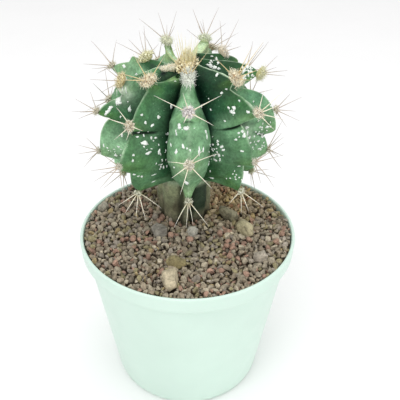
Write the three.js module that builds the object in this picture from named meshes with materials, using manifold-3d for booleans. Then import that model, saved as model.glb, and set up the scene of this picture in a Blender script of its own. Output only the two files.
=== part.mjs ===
// A potted round cactus: a flecked globular cactus with nine notched ribs, standing on its corky neck
// in a round nursery pot filled with gravel. Millimetres, +Z up. The origin is the middle of the pot's
// base, and -Y is the front.
import * as THREE from "three";
import { mergeVertices } from "three/addons/utils/BufferGeometryUtils.js";
import Module from "manifold-3d";

const wasm = await Module();
wasm.setup();

// ---------- driving dimensions ----------

const GAP = 0.35; // the clearance between pieces that touch

const POT = {
  rimRadius: 52.5,
  height: 85,
  baseRadius: 38,
  baseRound: 3,
  shoulderRadius: 49.6, // the tapered wall, just under the collar
  collarHeight: 9,
  wall: 1.4,
  floor: 2.2,
  holeCount: 6,
  holeRadius: 3.5,
  holeCircle: 26,
  sides: 48,
};

const BED = {
  level: 84.3, // the mean height of the grit
  heap: 0.5, // how much it rises at the stem
  heapReach: 22,
  grain: 5.8, // the pitch of the grains
  grainHeight: 1.8,
  gridSteps: 35,
};

const STEM = {
  back: 18, // how far the cactus stands behind the pot's middle
  lean: -1.6, // how far the neck stands to the left of the body's axis
  foot: 58,
  // [radius, height] from the collar under the ribs down to the blunt buried foot
  profile: [[14, 108.5], [13.4, 101], [13.9, 92], [14.2, 82], [12.8, 70], [8, 58]],
};

// Each rib's crest in its own upright plane, as [distance from the body's axis, height]: its start at the
// crown, the chin of the first tooth, the notch under it, the next chin, and so on down to the last chin.
// turn is the rib's angle from the front towards +X, in degrees.
const RIBS = [
  {
    turn: 1,
    crest: [
      [6, 161.5], [16, 162], [17, 158.5], [32, 152],
      [30.5, 148.5], [39.5, 131], [38, 127.5], [26, 105],
    ],
  },
  {
    turn: 44,
    crest: [
      [6, 163.5], [28.7, 163], [26.5, 158], [42.5, 151],
      [33, 144], [42, 127], [36, 126], [34.5, 110],
    ],
  },
  {
    turn: 85,
    crest: [
      [6, 165], [31.8, 158], [24.5, 152], [41.6, 131],
      [36.5, 128], [38.4, 118.5], [34, 115.5], [30, 108],
    ],
  },
  {
    turn: 130,
    crest: [
      [6, 165.8], [31.5, 156.5], [30.5, 153.5], [38, 149],
      [34, 145], [42, 134], [37, 130], [33, 110],
    ],
  },
  {
    turn: 160,
    crest: [
      [6, 162.5], [25.5, 166], [24.5, 161.5], [35, 157],
      [31, 152], [41, 137], [36, 133], [31, 109],
    ],
  },
  {
    turn: 202,
    crest: [
      [6, 160], [27, 164], [25, 159], [40, 148],
      [34, 144], [41.5, 124], [37, 121], [29, 107],
    ],
  },
  {
    turn: 244,
    crest: [
      [6, 160.5], [28.8, 161.5], [31, 158.5], [40.5, 153.5],
      [34, 149], [43, 135], [37, 131], [34, 110],
    ],
  },
  {
    turn: 278,
    crest: [
      [6, 162.5], [32.5, 153], [30, 148.5], [42.2, 140.5],
      [35, 138], [42.2, 119], [36, 116], [30, 108],
    ],
  },
  {
    turn: 319,
    crest: [
      [6, 157.5], [25, 161], [26, 157], [37, 143.5],
      [36, 141.5], [45, 127], [38.7, 122.5], [33, 110],
    ],
  },
];

// The valley between two ribs, level with the crown's edge, the four chins and the collar.
const VALLEY = [[5, 159.5], [11.5, 151], [18.5, 140], [22, 127], [18.5, 115], [14, 108.5]];
const CROWN_MIDDLE = 158.5;
const NOTCH_DROP = 0.12; // where the crease of a notch runs out in the valley, as a share of a tooth

const ACROSS = [0, 0.4, 0.8, 1, 0.8, 0.4]; // the columns of one rib: valley, flank, shoulder, crest
const TOOTHED = [0, 0, 0.32, 1, 0.32, 0]; // how far each of these columns follows the notches

// How far the flanks swell, half a level at a time from the crown's edge to the collar. The front rib is
// the stoutest.
const FLANK_SWELL = [0.5, 2.2, 2.6, 2.2, 2.2, 2.4, 2.2, 1.4, 0.4, 0.2, 0];
const FRONT_SWELL = [0, 0, 0.8, 2.6, 4.3, 5.4, 4.9, 3.7, 2.1, 0.6, 0];
const FULL_RADIUS = 25; // where a rib stands out this far its flanks have their whole swelling
const CALM_REACH = 7.5; // how far along the crest a flank smooths out the teeth
const TIP_DROP = 3; // how far a rib's last chin hangs below the flanks beside it
const TIP_REACH = 0.3; // in levels
const CROWN_STEPS = [0, 0.25, 0.5, 0.75, 0.92, 1];
const TOOTH_STEPS = [0.2, 0.4, 0.6, 0.8, 0.93, 1];
const UNDERSIDE_STEPS = [0.4, 0.8];

// The bend of a tooth's arc, as shares of the way out and of the way down: as a rule, of the full teeth by
// rib and level, of the one that stands up like a horn, and of the lowest teeth except the front rib's.
const TOOTH_BEND = [0.75, 0.35];
const FULL_BEND = [1.08, 0.13];
const FULL_TEETH = ["3_1", "3_2", "3_3", "8_3"];
const HORN_BEND = [0.86, -0.9];
const HORN = "6_1";
const LAST_BEND = [-0.15, 0.6];

const CORK_JITTER = 0.5; // how uneven the neck is

// The spine bunches, from the crown's level down: how far the areole lies above its chin, how far it nods
// outwards, the pad's half-sizes across, along and out, the number of spines, their length and their lean.
const BUNCHES = [
  { rise: 0.6, nod: 42, pad: [3.2, 4.2, 2.4], spines: 5, length: 13.5, tilt: 40 },
  { rise: 1.5, nod: 8, pad: [2.5, 2.6, 1.7], spines: 6, length: 14, tilt: 58 },
  { rise: 1.5, nod: 0, pad: [2.1, 2.2, 1.5], spines: 6, length: 13, tilt: 60 },
  { rise: 1.2, nod: 0, pad: [1.7, 1.8, 1.3], spines: 5, length: 12, tilt: 48 },
];

// By rib and level: the areoles that stand well above their chin, and the pads that are smaller.
const HIGH_AREOLES = { "3_1": 2.5, "3_2": 9, "4_1": 15, "5_1": 3, "7_1": 11, "8_1": 6 };
const SMALL_PADS = {
  "1_1": 0.8,
  "2_1": 0.88,
  "3_1": 0.75,
  "4_1": 0.75,
  "5_1": 0.8,
  "6_1": 0.75,
  "8_1": 0.8,
  "9_1": 0.92,
  "2_2": 0.85,
  "3_2": 0.55,
  "7_2": 0.7,
  "8_2": 0.55,
  "9_2": 0.88,
  "2_3": 0.55,
  "3_3": 0.6,
  "8_3": 0.6,
  "9_3": 0.55,
};

// The spines of the bunches that face the front, as [clock angle, lean, length]: 0 points up the rib
// and 90 to the right, the lean is from the areole's outward normal.
const FRONT_BUNCHES = {
  "1_2": [[-70, 70, 15], [67, 70, 14], [125, 66, 12], [-20, 50, 8], [200, 55, 7]],
  "1_3": [[-67, 62, 10], [57, 66, 14], [198, 64, 12], [133, 66, 13], [33, 60, 10], [-120, 58, 9]],
  "1_4": [[-125, 42, 13], [-165, 22, 12], [150, 24, 11], [118, 44, 14]],
  "2_2": [[30, 60, 9], [78, 62, 16], [100, 60, 9], [135, 66, 11], [180, 68, 9], [-80, 62, 7]],
  "9_2": [[-30, 62, 9], [-84, 64, 12], [80, 66, 11], [-150, 62, 8], [140, 55, 7]],
};

// Those of the bunches that stand out against the light, as [heading, climb, length]: a heading is
// measured as a rib's turn is, and the climb is above the level.
const OUTER_BUNCHES = {
  "1_1": [[268, 50, 13], [300, 68, 14], [60, 72, 13], [92, 52, 13], [330, 55, 9]],
  "2_1": [[100, 52, 17], [110, 62, 13], [85, 25, 10], [262, 45, 11], [40, 10, 8]],
  "3_1": [[120, 36, 10], [93, 5, 11], [86, -6, 10], [60, 30, 7]],
  "4_1": [[184, 57, 14], [136, 48, 16], [100, 15, 8], [245, 32, 8], [150, 15, 9]],
  "5_1": [[219, 50, 14], [145, 51, 15], [112, 30, 11], [184, 57, 8], [200, 20, 9]],
  "6_1": [[244, 33, 16], [206, 54, 13], [146, 52, 14], [180, 30, 9], [100, 60, 7]],
  "7_1": [[213, 52, 12], [186, 57, 13], [253, 24, 14], [240, 37, 10], [120, 40, 7]],
  "8_1": [[245, 32, 9], [268, 2, 13], [286, -23, 10], [250, 55, 9]],
  "9_1": [[272, 5, 12], [268, 15, 12], [275, 64, 12], [80, 57, 12], [315, 20, 8]],
  "3_2": [[104, 21, 13], [76, -21, 12], [87, -4, 9], [90, 50, 9], [60, -50, 9]],
  "4_2": [[130, 45, 13], [120, 38, 16], [155, 52, 13], [120, -10, 10]],
  "7_2": [[234, 42, 15], [171, 56, 12], [268, 3, 13], [276, -13, 9], [250, -30, 9]],
  "8_2": [[253, 24, 11], [270, 0, 11], [282, -17, 9], [213, 52, 9], [300, 10, 8]],
  "8_3": [[262, 12, 10], [275, -8, 10], [293, -40, 10], [240, 40, 8], [330, -10, 8]],
  "9_3": [[275, -8, 12], [288, -25, 12], [301, -38, 12], [14, -56, 15], [260, 35, 8]],
  "2_3": [[110, 27, 15], [63, -35, 13], [97, 10, 13], [45, -60, 9], [70, 50, 8]],
  "9_4": [[290, -28, 10], [311, -45, 11], [351, -56, 11], [26, -54, 12], [72, -26, 12]],
  "2_4": [[36, -51, 9], [70, -28, 12], [299, -36, 7], [10, -65, 10]],
};
const ROOT_START = 0.7; // how far from the pad's middle a spine starts, as a share of its half-height
const PAD_LIFT = 0.35; // how far a pad's middle stands off the crest, as a share of its half-height
const GOLDEN_TURN = 137.5;
const CROWN_TUFT = {
  radius: 6.4,
  height: 4.2,
  middle: 160.5,
  spines: 17,
  length: 15.5,
  lean: 15,
  spread: 0.55, // how far from the middle the spines stand, as a share of the radius
};
const SPINE = { root: 0.55, sides: 3 };

// The larger stones on the grit: where each lies, its half-sizes and its turn.
const STONES = [
  { name: "stone_cream_tall", at: [-7.5, -39], size: [3.9, 6.6, 3.6], turn: 8, colour: 0xb5a78a },
  { name: "stone_ochre", at: [-5.2, -27], size: [4.2, 2.8, 2.6], turn: -12, colour: 0x9c8455 },
  { name: "stone_olive", at: [20.5, 11], size: [4.4, 4.6, 3.4], turn: 38, colour: 0x8a8468 },
  { name: "stone_yellowish", at: [28.5, -1.5], size: [4.2, 5.4, 3.4], turn: 30, colour: 0xb0a078 },
  { name: "stone_dark_grey", at: [-13.5, -3], size: [3.4, 4.2, 3], turn: 20, colour: 0x6a6660 },
  { name: "stone_whitish", at: [2.5, -3.5], size: [2.4, 2.9, 2.4], turn: -25, colour: 0xa9a6a0 },
  { name: "stone_pale_right", at: [34, -23], size: [3.2, 2.7, 2.3], turn: 15, colour: 0xa8a093 },
  { name: "stone_pale_left", at: [-43.5, 18], size: [2.6, 2.4, 2.2], turn: 60, colour: 0xaaa498 },
];
const STONE_LIFT = 0.3; // how far a stone's middle stands above the grit, as a share of its height
const STONE_ROUGHNESS = 0.16;

const COLOURS = { pot: 0xdcefe4, bed: 0x7d6a5e, body: 0x3f7a55, wool: 0xd8cda6, tuft: 0xd9c187 };

// ---------- helpers ----------

const radians = THREE.MathUtils.degToRad;
const mix = THREE.MathUtils.lerp;

// A seeded draw between 0 and 1, the same for the same numbers.
function draw(...keys) {
  const sum = keys.reduce((total, key, index) => total + key * (12.9898 + 65.233 * index), 0.5);
  const wave = Math.sin(sum) * 43758.5453;
  return wave - Math.floor(wave);
}

function toSolid(geometry) {
  const bare = geometry.clone();
  bare.deleteAttribute("normal");
  bare.deleteAttribute("uv");
  const merged = mergeVertices(bare, 1e-4);
  const vertProperties = new Float32Array(merged.attributes.position.array);
  const triVerts = new Uint32Array(merged.index.array);
  return new wasm.Manifold(new wasm.Mesh({ numProp: 3, vertProperties, triVerts }));
}

function toGeometry(solid) {
  const mesh = solid.getMesh();
  const geometry = new THREE.BufferGeometry();
  geometry.setAttribute("position", new THREE.BufferAttribute(new Float32Array(mesh.vertProperties), 3));
  geometry.setIndex(new THREE.BufferAttribute(new Uint32Array(mesh.triVerts), 1));
  geometry.computeVertexNormals();
  return geometry;
}

function largestPiece(solid) {
  const pieces = solid.decompose();
  return pieces.reduce((best, piece) => (piece.volume() > best.volume() ? piece : best));
}

// A round piece turned from [radius, height] points that run from the axis back to the axis.
function turned(profile, sides) {
  const points = profile.map(([radius, height]) => new THREE.Vector2(radius, height));
  return new THREE.LatheGeometry(points, sides).rotateX(Math.PI / 2);
}

function named(name, geometry, color, roughness) {
  const mesh = new THREE.Mesh(geometry, new THREE.MeshStandardMaterial({ color, roughness, metalness: 0 }));
  mesh.name = name;
  return mesh;
}

// ---------- pot ----------

// The pot's outline from the middle of the base up to the rim.
function potOutside() {
  const { rimRadius, height, baseRadius, baseRound, shoulderRadius, collarHeight } = POT;
  const shoulder = height - collarHeight;
  return [
    [0, 0],
    [baseRadius - baseRound, 0],
    [baseRadius - 0.3 * baseRound, 0.3 * baseRound],
    [baseRadius + 0.4, baseRound],
    [shoulderRadius, shoulder],
    [rimRadius - 0.7, shoulder + 1],
    [rimRadius - 0.3, shoulder + 2],
    [rimRadius, height - 1],
    [rimRadius - 0.4, height - 0.2],
  ];
}

// The pot's hollow from the rim down to the middle of the floor, drawn in by clear on all sides.
function potInside(clear = 0) {
  const { rimRadius, height, baseRadius, baseRound, shoulderRadius, collarHeight, wall, floor } = POT;
  const shoulder = height - collarHeight;
  const inset = wall + clear;
  return [
    [rimRadius - 0.2 - inset, height],
    [rimRadius - 0.5 - inset, shoulder + 2.6],
    [shoulderRadius - inset, shoulder + 0.6],
    [baseRadius + 0.4 - inset, baseRound + clear],
    [baseRadius - 0.4 - inset, floor + clear],
    [0, floor + clear],
  ];
}

function pot() {
  const shell = toSolid(turned([...potOutside(), ...potInside()], POT.sides));
  let drilled = shell;
  for (let index = 0; index < POT.holeCount; index += 1) {
    const angle = (index * 2 * Math.PI) / POT.holeCount;
    const hole = new THREE.CylinderGeometry(POT.holeRadius, POT.holeRadius, 4 * POT.floor, 16)
      .rotateX(Math.PI / 2)
      .translate(POT.holeCircle * Math.cos(angle), POT.holeCircle * Math.sin(angle), 0);
    drilled = drilled.subtract(toSolid(hole));
  }
  return named("pot", toGeometry(drilled), COLOURS.pot, 0.45);
}

// ---------- gravel and stones ----------

// The mean height of the grit at x, y, which rises a little at the stem.
function groundHeight(x, y) {
  const fromStem = Math.hypot(x - STEM.lean, y - STEM.back);
  return BED.level + BED.heap * Math.exp(-((fromStem / BED.heapReach) ** 2));
}

// The height of the grit at x, y: the tops of the jittered grains around it.
function bedHeight(x, y) {
  const column = Math.floor(x / BED.grain);
  const row = Math.floor(y / BED.grain);
  let top = 0;
  for (let i = column - 1; i <= column + 1; i += 1) {
    for (let j = row - 1; j <= row + 1; j += 1) {
      const grainX = (i + 0.2 + 0.6 * draw(i, j, 1)) * BED.grain;
      const grainY = (j + 0.2 + 0.6 * draw(i, j, 2)) * BED.grain;
      const reach = Math.hypot(x - grainX, y - grainY) / (0.72 * BED.grain);
      const rise = BED.grainHeight * (0.6 + 0.7 * draw(i, j, 3));
      top = Math.max(top, rise * (1 - reach * reach));
    }
  }
  return groundHeight(x, y) - 0.5 * BED.grainHeight + top;
}

function stoneGeometry(stone, index, clear = 0) {
  const geometry = new THREE.IcosahedronGeometry(1, 1);
  geometry.deleteAttribute("normal");
  geometry.deleteAttribute("uv");
  const rough = mergeVertices(geometry, 1e-4);
  const place = rough.attributes.position;
  for (let i = 0; i < place.count; i += 1) {
    const bump = 1 + STONE_ROUGHNESS * (draw(index, i, 4) - 0.5);
    const [a, b, c] = stone.size.map((half) => half * bump + clear);
    place.setXYZ(i, place.getX(i) * a, place.getY(i) * b, place.getZ(i) * c);
  }
  const [x, y] = stone.at;
  const height = groundHeight(x, y) + STONE_LIFT * stone.size[2];
  return rough.rotateZ(radians(stone.turn)).translate(x, y, height);
}

function stones() {
  return STONES.map((stone, index) => named(stone.name, stoneGeometry(stone, index), stone.colour, 0.9));
}

// The stem's outline, drawn out by clear, closed on the axis at both ends.
function stemProfile(clear, top) {
  const sides = STEM.profile.map(([radius, height]) => [radius + clear, height]);
  const bottom = STEM.foot - clear;
  const wall = [[sides.at(-1)[0], bottom], ...sides.slice(1, -1).reverse(), [sides[0][0], top]];
  return [[0, bottom], ...wall, [0, top]];
}

function gravelBed() {
  const width = 2 * POT.rimRadius;
  const depth = BED.level; // more than the bed's own, so that the pot's hollow shapes its foot
  const block = new THREE.BoxGeometry(width, width, depth, BED.gridSteps, BED.gridSteps, 1)
    .translate(0, 0, BED.level - depth / 2);
  const place = block.attributes.position;
  for (let i = 0; i < place.count; i += 1) {
    if (place.getZ(i) > BED.level - 1) place.setZ(i, bedHeight(place.getX(i), place.getY(i)));
  }
  const heaped = POT.height + 2 * BED.grainHeight; // above all the grains
  const plug = toSolid(turned([...potInside(GAP).reverse(), [0, heaped]], POT.sides));
  const hole = turned(stemProfile(GAP, POT.height + 5), 32).translate(STEM.lean, STEM.back, 0);
  let bed = plug.intersect(toSolid(block)).subtract(toSolid(hole));
  STONES.forEach((stone, index) => {
    bed = bed.subtract(toSolid(stoneGeometry(stone, index, GAP)));
  });
  return named("gravel_bed", toGeometry(largestPiece(bed)), COLOURS.bed, 0.95);
}

// ---------- cactus body ----------

// A point of the rib's upright plane in space: out from the body's axis, sideways along +turn, and up.
function inSpace(turn, out, up, sideways = 0) {
  const angle = radians(turn);
  const x = out * Math.sin(angle) + sideways * Math.cos(angle);
  const y = STEM.back - out * Math.cos(angle) + sideways * Math.sin(angle);
  return new THREE.Vector3(x, y, up);
}

function toothBend(number, level) {
  const key = `${number + 1}_${level}`;
  if (key === HORN) return HORN_BEND;
  if (level === BUNCHES.length && number > 0) return LAST_BEND;
  return FULL_TEETH.includes(key) ? FULL_BEND : TOOTH_BEND;
}

// The crest of a rib's tooth at a level from 1 to 4, out from its start in one swelling arc. step runs
// from 0 at the notch it starts from, or at the crown, to 1 at its chin.
function toothCrest(number, level, step) {
  const start = RIBS[number].crest[2 * level - 2];
  const chin = RIBS[number].crest[2 * level - 1];
  const [out, down] = toothBend(number, level);
  const arc = new THREE.QuadraticBezierCurve(
    new THREE.Vector2(...start),
    new THREE.Vector2(mix(start[0], chin[0], out), mix(start[1], chin[1], down)),
    new THREE.Vector2(...chin),
  );
  return arc.getPoint(step);
}

// The rows of the body from the crown to the collar, each as the crest's point for a rib's number and its
// place along the valley.
function bodyRows() {
  const rows = CROWN_STEPS.map((step) => ({
    valley: step,
    crest: (number) => toothCrest(number, 1, step),
  }));
  [1, 2, 3].forEach((level) => {
    [0, ...TOOTH_STEPS].forEach((step) => {
      rows.push({
        valley: level + mix(NOTCH_DROP, 1, step),
        crest: (number) => toothCrest(number, level + 1, step),
      });
    });
  });
  const collar = STEM.profile[0];
  UNDERSIDE_STEPS.forEach((step) => {
    const under = ([out, up]) => new THREE.Vector2(mix(out, collar[0], step), mix(up, collar[1], step));
    rows.push({ valley: 4 + step, crest: (number) => under(RIBS[number].crest.at(-1)) });
  });
  return rows;
}

const valleyCurve = new THREE.SplineCurve(VALLEY.map(([out, up]) => new THREE.Vector2(out, up)));

// The turn of the valley after the rib with this number.
function valleyTurn(number) {
  const here = RIBS[(number + RIBS.length) % RIBS.length].turn;
  const next = RIBS[(number + 1) % RIBS.length].turn;
  return here + ((next - here + 360) % 360) / 2;
}

// A crest's line at all rows with its teeth smoothed out, as the flanks below it have it.
function calmed(line, rows) {
  let length = 0;
  const along = line.map((point, index) => {
    length += index === 0 ? 0 : point.distanceTo(line[index - 1]);
    return length;
  });
  const last = line.length - 1;
  return line.map((point, here) => {
    const mean = new THREE.Vector2();
    let total = 0;
    line.forEach((other, there) => {
      const spacing = along[Math.min(there + 1, last)] - along[Math.max(there - 1, 0)];
      const weight = spacing * Math.exp(-(((along[there] - along[here]) / CALM_REACH) ** 2));
      mean.addScaledVector(other, weight);
      total += weight;
    });
    const edge = Math.min(1, along[here] / CALM_REACH, (length - along[here]) / CALM_REACH);
    const calm = point.clone().lerp(mean.divideScalar(total), edge);
    calm.y += TIP_DROP * Math.exp(-(((rows[here].valley - (VALLEY.length - 2)) / TIP_REACH) ** 2));
    return calm;
  });
}

// A value at a level, from a list that gives it half a level at a time.
function byLevel(values, level) {
  const index = Math.min(Math.floor(2 * level), values.length - 2);
  return mix(values[index], values[index + 1], 2 * level - index);
}

// The points of a rib's skin, row by row: its crest and the valleys beside it, joined by swelling flanks.
function ribPoints(number, rows) {
  const rib = RIBS[number];
  const line = rows.map((row) => row.crest(number));
  const calm = calmed(line, rows);
  return rows.map((row, index) => ACROSS.map((share, column) => {
    const side = column <= ACROSS.length / 2 ? -1 : 1;
    const inValley = valleyCurve.getPoint(row.valley / (VALLEY.length - 1));
    const low = inSpace(valleyTurn(side < 0 ? number - 1 : number), inValley.x, inValley.y);
    const crest = calm[index].clone().lerp(line[index], TOOTHED[column]);
    const fullness = byLevel(number === 0 ? FRONT_SWELL : FLANK_SWELL, row.valley);
    const swell = side * fullness * Math.sin(Math.PI * share) * Math.min(1, line[index].x / FULL_RADIUS);
    const high = inSpace(rib.turn, crest.x, crest.y);
    const shift = inSpace(rib.turn, 0, 0, swell).sub(inSpace(rib.turn, 0, 0));
    return low.lerp(high, share).add(shift);
  }));
}

function stemPoint(number, column, ring) {
  const [radius, height] = STEM.profile[ring];
  const share = column / ACROSS.length;
  const from = valleyTurn(number - 1);
  const turn = from + share * ((valleyTurn(number) - from + 720) % 360);
  const lean = ring === 0 ? STEM.lean / 2 : STEM.lean;
  const out = radius + CORK_JITTER * (draw(number, column, ring) - 0.5);
  return inSpace(turn, out, height).add(new THREE.Vector3(lean, 0, 0));
}

// The whole skin, a sphere's rows and columns moved onto the ribs and the stem.
function bodyGeometry() {
  const rows = bodyRows();
  const ribs = RIBS.map((_, number) => ribPoints(number, rows));
  const columns = RIBS.length * ACROSS.length;
  const bands = rows.length + STEM.profile.length + 1;
  const skin = new THREE.SphereGeometry(1, columns, bands);
  const place = skin.attributes.position;
  for (let band = 0; band <= bands; band += 1) {
    for (let index = 0; index <= columns; index += 1) {
      const number = Math.floor((index % columns) / ACROSS.length);
      const column = (index % columns) % ACROSS.length;
      let point = new THREE.Vector3(0, STEM.back, CROWN_MIDDLE);
      if (band === bands) point = new THREE.Vector3(STEM.lean, STEM.back, STEM.foot);
      else if (band > rows.length) point = stemPoint(number, column, band - rows.length - 1);
      else if (band > 0) point = ribs[number][band - 1][column];
      place.setXYZ(band * (columns + 1) + index, point.x, point.y, point.z);
    }
  }
  skin.deleteAttribute("normal");
  skin.deleteAttribute("uv");
  return mergeVertices(skin, 1e-4);
}

// ---------- spine bunches ----------

// A straight three-sided spine from a point along a direction.
function spine(from, direction, length) {
  const turn = new THREE.Quaternion().setFromUnitVectors(new THREE.Vector3(0, 1, 0), direction);
  const middle = from.clone().addScaledVector(direction, length / 2);
  return new THREE.ConeGeometry(SPINE.root, length, SPINE.sides).applyQuaternion(turn)
    .translate(middle.x, middle.y, middle.z);
}

// The areole of a rib at a level from 1 to 4: its place on the crest and its directions out from the
// skin, down along the rib and across it.
function areoleFrame(number, level) {
  const rib = RIBS[number];
  const bunch = BUNCHES[level - 1];
  const start = rib.crest[2 * level - 2];
  const chin = rib.crest[2 * level - 1];
  const rise = HIGH_AREOLES[`${number + 1}_${level}`] ?? bunch.rise;
  const run = Math.hypot(chin[0] - start[0], chin[1] - start[1]);
  const here = toothCrest(number, level, 1 - rise / run);
  const above = toothCrest(number, level, 1 - (rise + 2) / run);
  const at = inSpace(rib.turn, here.x, here.y);
  const down = at.clone().sub(inSpace(rib.turn, above.x, above.y)).normalize();
  const across = inSpace(rib.turn, 0, 0, 1).sub(inSpace(rib.turn, 0, 0));
  const out = across.clone().cross(down).negate().normalize();
  [down, out].forEach((way) => way.applyAxisAngle(across, radians(bunch.nod)));
  return { at, down, across, out };
}

// The ways and the lengths of a bunch's spines.
function bunchSpines(number, level, { down, across, out }) {
  const key = `${number + 1}_${level}`;
  if (OUTER_BUNCHES[key]) {
    return OUTER_BUNCHES[key].map(([heading, climb, length]) => {
      const flat = Math.cos(radians(climb));
      const way = inSpace(heading, flat, Math.sin(radians(climb))).sub(inSpace(heading, 0, 0));
      return [way, length];
    });
  }
  const bunch = BUNCHES[level - 1];
  const even = Array.from({ length: bunch.spines }, (_, index) => {
    const clock = (index + 0.25 + 0.5 * draw(number, level, index)) * (360 / bunch.spines);
    const lean = bunch.tilt * (0.8 + 0.4 * draw(number, level, index + 20));
    return [clock, lean, bunch.length * (0.75 + 0.4 * draw(number, level, index + 40))];
  });
  return (FRONT_BUNCHES[key] ?? even).map(([clock, lean, length]) => {
    const aside = across.clone().multiplyScalar(Math.sin(radians(clock)));
    aside.addScaledVector(down, -Math.cos(radians(clock)));
    const way = out.clone().multiplyScalar(Math.cos(radians(lean)));
    return [way.addScaledVector(aside, Math.sin(radians(lean))).normalize(), length];
  });
}

// The half-sizes of an areole's pad.
function padHalf(number, level) {
  const share = SMALL_PADS[`${number + 1}_${level}`] ?? 1;
  return BUNCHES[level - 1].pad.map((size) => size * share);
}

// The wool pad of an areole, grown by clear.
function padSolid({ at, across, down, out }, half, clear = 0) {
  const [a, b, c] = half.map((size) => size + clear);
  const seat = at.clone().addScaledVector(out, PAD_LIFT * half[2]);
  const axes = new THREE.Matrix4().makeBasis(across, down.clone().negate(), out).setPosition(seat);
  return toSolid(new THREE.SphereGeometry(1, 6, 4).rotateX(Math.PI / 2).scale(a, b, c).applyMatrix4(axes));
}

function spineBunch(number, level) {
  const frame = areoleFrame(number, level);
  const half = padHalf(number, level);
  const seat = frame.at.clone().addScaledVector(frame.out, PAD_LIFT * half[2]);
  let bunch = padSolid(frame, half);
  bunchSpines(number, level, frame).forEach(([way, length]) => {
    const root = seat.clone().addScaledVector(way, ROOT_START * half[2]);
    bunch = bunch.add(toSolid(spine(root, way, length)));
  });
  return named(`areole_rib${number + 1}_level${level}`, toGeometry(bunch), COLOURS.wool, 0.85);
}

// The wool in the middle of the crown, grown by clear.
function crownMound(clear = 0) {
  const { radius, height, middle } = CROWN_TUFT;
  return toSolid(new THREE.SphereGeometry(1, 12, 6).rotateX(Math.PI / 2)
    .scale(radius + clear, radius + clear, height + clear).translate(0, STEM.back, middle));
}

// The crown's wool and the young spines that stand in it.
function crownTuft() {
  const { radius, height, middle, spines, length, lean, spread } = CROWN_TUFT;
  let tuft = crownMound();
  for (let index = 0; index < spines; index += 1) {
    const ring = Math.sqrt((index + 0.5) / spines);
    const turn = index * GOLDEN_TURN;
    const root = inSpace(turn, spread * ring * radius, middle + 0.4 * height);
    const tilt = radians(lean * ring);
    const aside = inSpace(turn, 1, 0).sub(inSpace(turn, 0, 0));
    const way = aside.multiplyScalar(Math.sin(tilt)).add(new THREE.Vector3(0, 0, Math.cos(tilt)));
    tuft = tuft.add(toSolid(spine(root, way, length * (0.7 + 0.3 * draw(index, 7)))));
  }
  return named("crown_tuft", toGeometry(tuft), COLOURS.tuft, 0.85);
}

// The body with a shallow seat for the wool of the crown and of each areole.
function cactusBody() {
  let body = toSolid(bodyGeometry()).subtract(crownMound(GAP));
  RIBS.forEach((_, number) => {
    BUNCHES.forEach((__, index) => {
      const level = index + 1;
      body = body.subtract(padSolid(areoleFrame(number, level), padHalf(number, level), GAP));
    });
  });
  return named("cactus_body", toGeometry(largestPiece(body)), COLOURS.body, 0.6);
}

// ---------- the part ----------

const cactus = new THREE.Group();
cactus.add(cactusBody(), crownTuft());
RIBS.forEach((_, number) => {
  BUNCHES.forEach((__, index) => cactus.add(spineBunch(number, index + 1)));
});

const part = new THREE.Group();
part.add(pot(), gravelBed(), ...stones(), cactus);

export default part;
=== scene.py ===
"""A potted round cactus: a flecked globular cactus with nine notched ribs, standing on its corky neck
in a pale round nursery pot filled with gravel.

Lengths are millimetres and angles are degrees until a mesh is made. +Z is up, -Y is the front, and a
turn is measured from the front towards +X. The photograph's pixels are those of its 400 x 400 frame.
"""

import bmesh
import bpy
import numpy as np
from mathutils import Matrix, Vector
from mathutils.bvhtree import BVHTree


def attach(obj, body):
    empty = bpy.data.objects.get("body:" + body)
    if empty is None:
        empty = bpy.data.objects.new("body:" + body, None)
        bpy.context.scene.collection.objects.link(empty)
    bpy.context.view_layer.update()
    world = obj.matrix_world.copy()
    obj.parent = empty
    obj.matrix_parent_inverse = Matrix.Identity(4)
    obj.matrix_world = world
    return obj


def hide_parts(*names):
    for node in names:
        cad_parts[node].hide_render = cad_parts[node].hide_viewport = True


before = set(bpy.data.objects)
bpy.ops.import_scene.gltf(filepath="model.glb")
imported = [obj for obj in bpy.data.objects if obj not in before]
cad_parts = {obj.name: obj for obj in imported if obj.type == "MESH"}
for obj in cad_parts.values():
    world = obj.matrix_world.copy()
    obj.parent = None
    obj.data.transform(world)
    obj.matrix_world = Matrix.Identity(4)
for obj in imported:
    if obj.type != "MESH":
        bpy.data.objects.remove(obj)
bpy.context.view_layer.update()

MM = 0.001
IMAGE = 400  # the photograph's side in pixels

# ---------- sizes that the frame shares ----------

POT = {
    "rim_radius": 52.5,
    "height": 85.0,
    "base_radius": 38.0,
    "base_round": 3.0,
    "shoulder_radius": 49.6,
    "collar_height": 9.0,
    "wall": 1.4,
    "floor": 2.2,
    "hole_count": 6,
    "hole_radius": 3.5,
    "hole_circle": 26.0,
}
BED = {"level": 84.3, "heap": 0.5, "heap_reach": 22.0, "grain": 5.8, "grain_height": 1.8}
GAP = 0.35

# The neck's profile as [radius, height] from the collar under the ribs down to the buried foot.
STEM_BACK = 18.0
STEM_LEAN = -1.6
STEM = np.array([[14, 108.5], [13.4, 101], [13.9, 92], [14.2, 82], [12.8, 70], [8, 58]], float)

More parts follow.
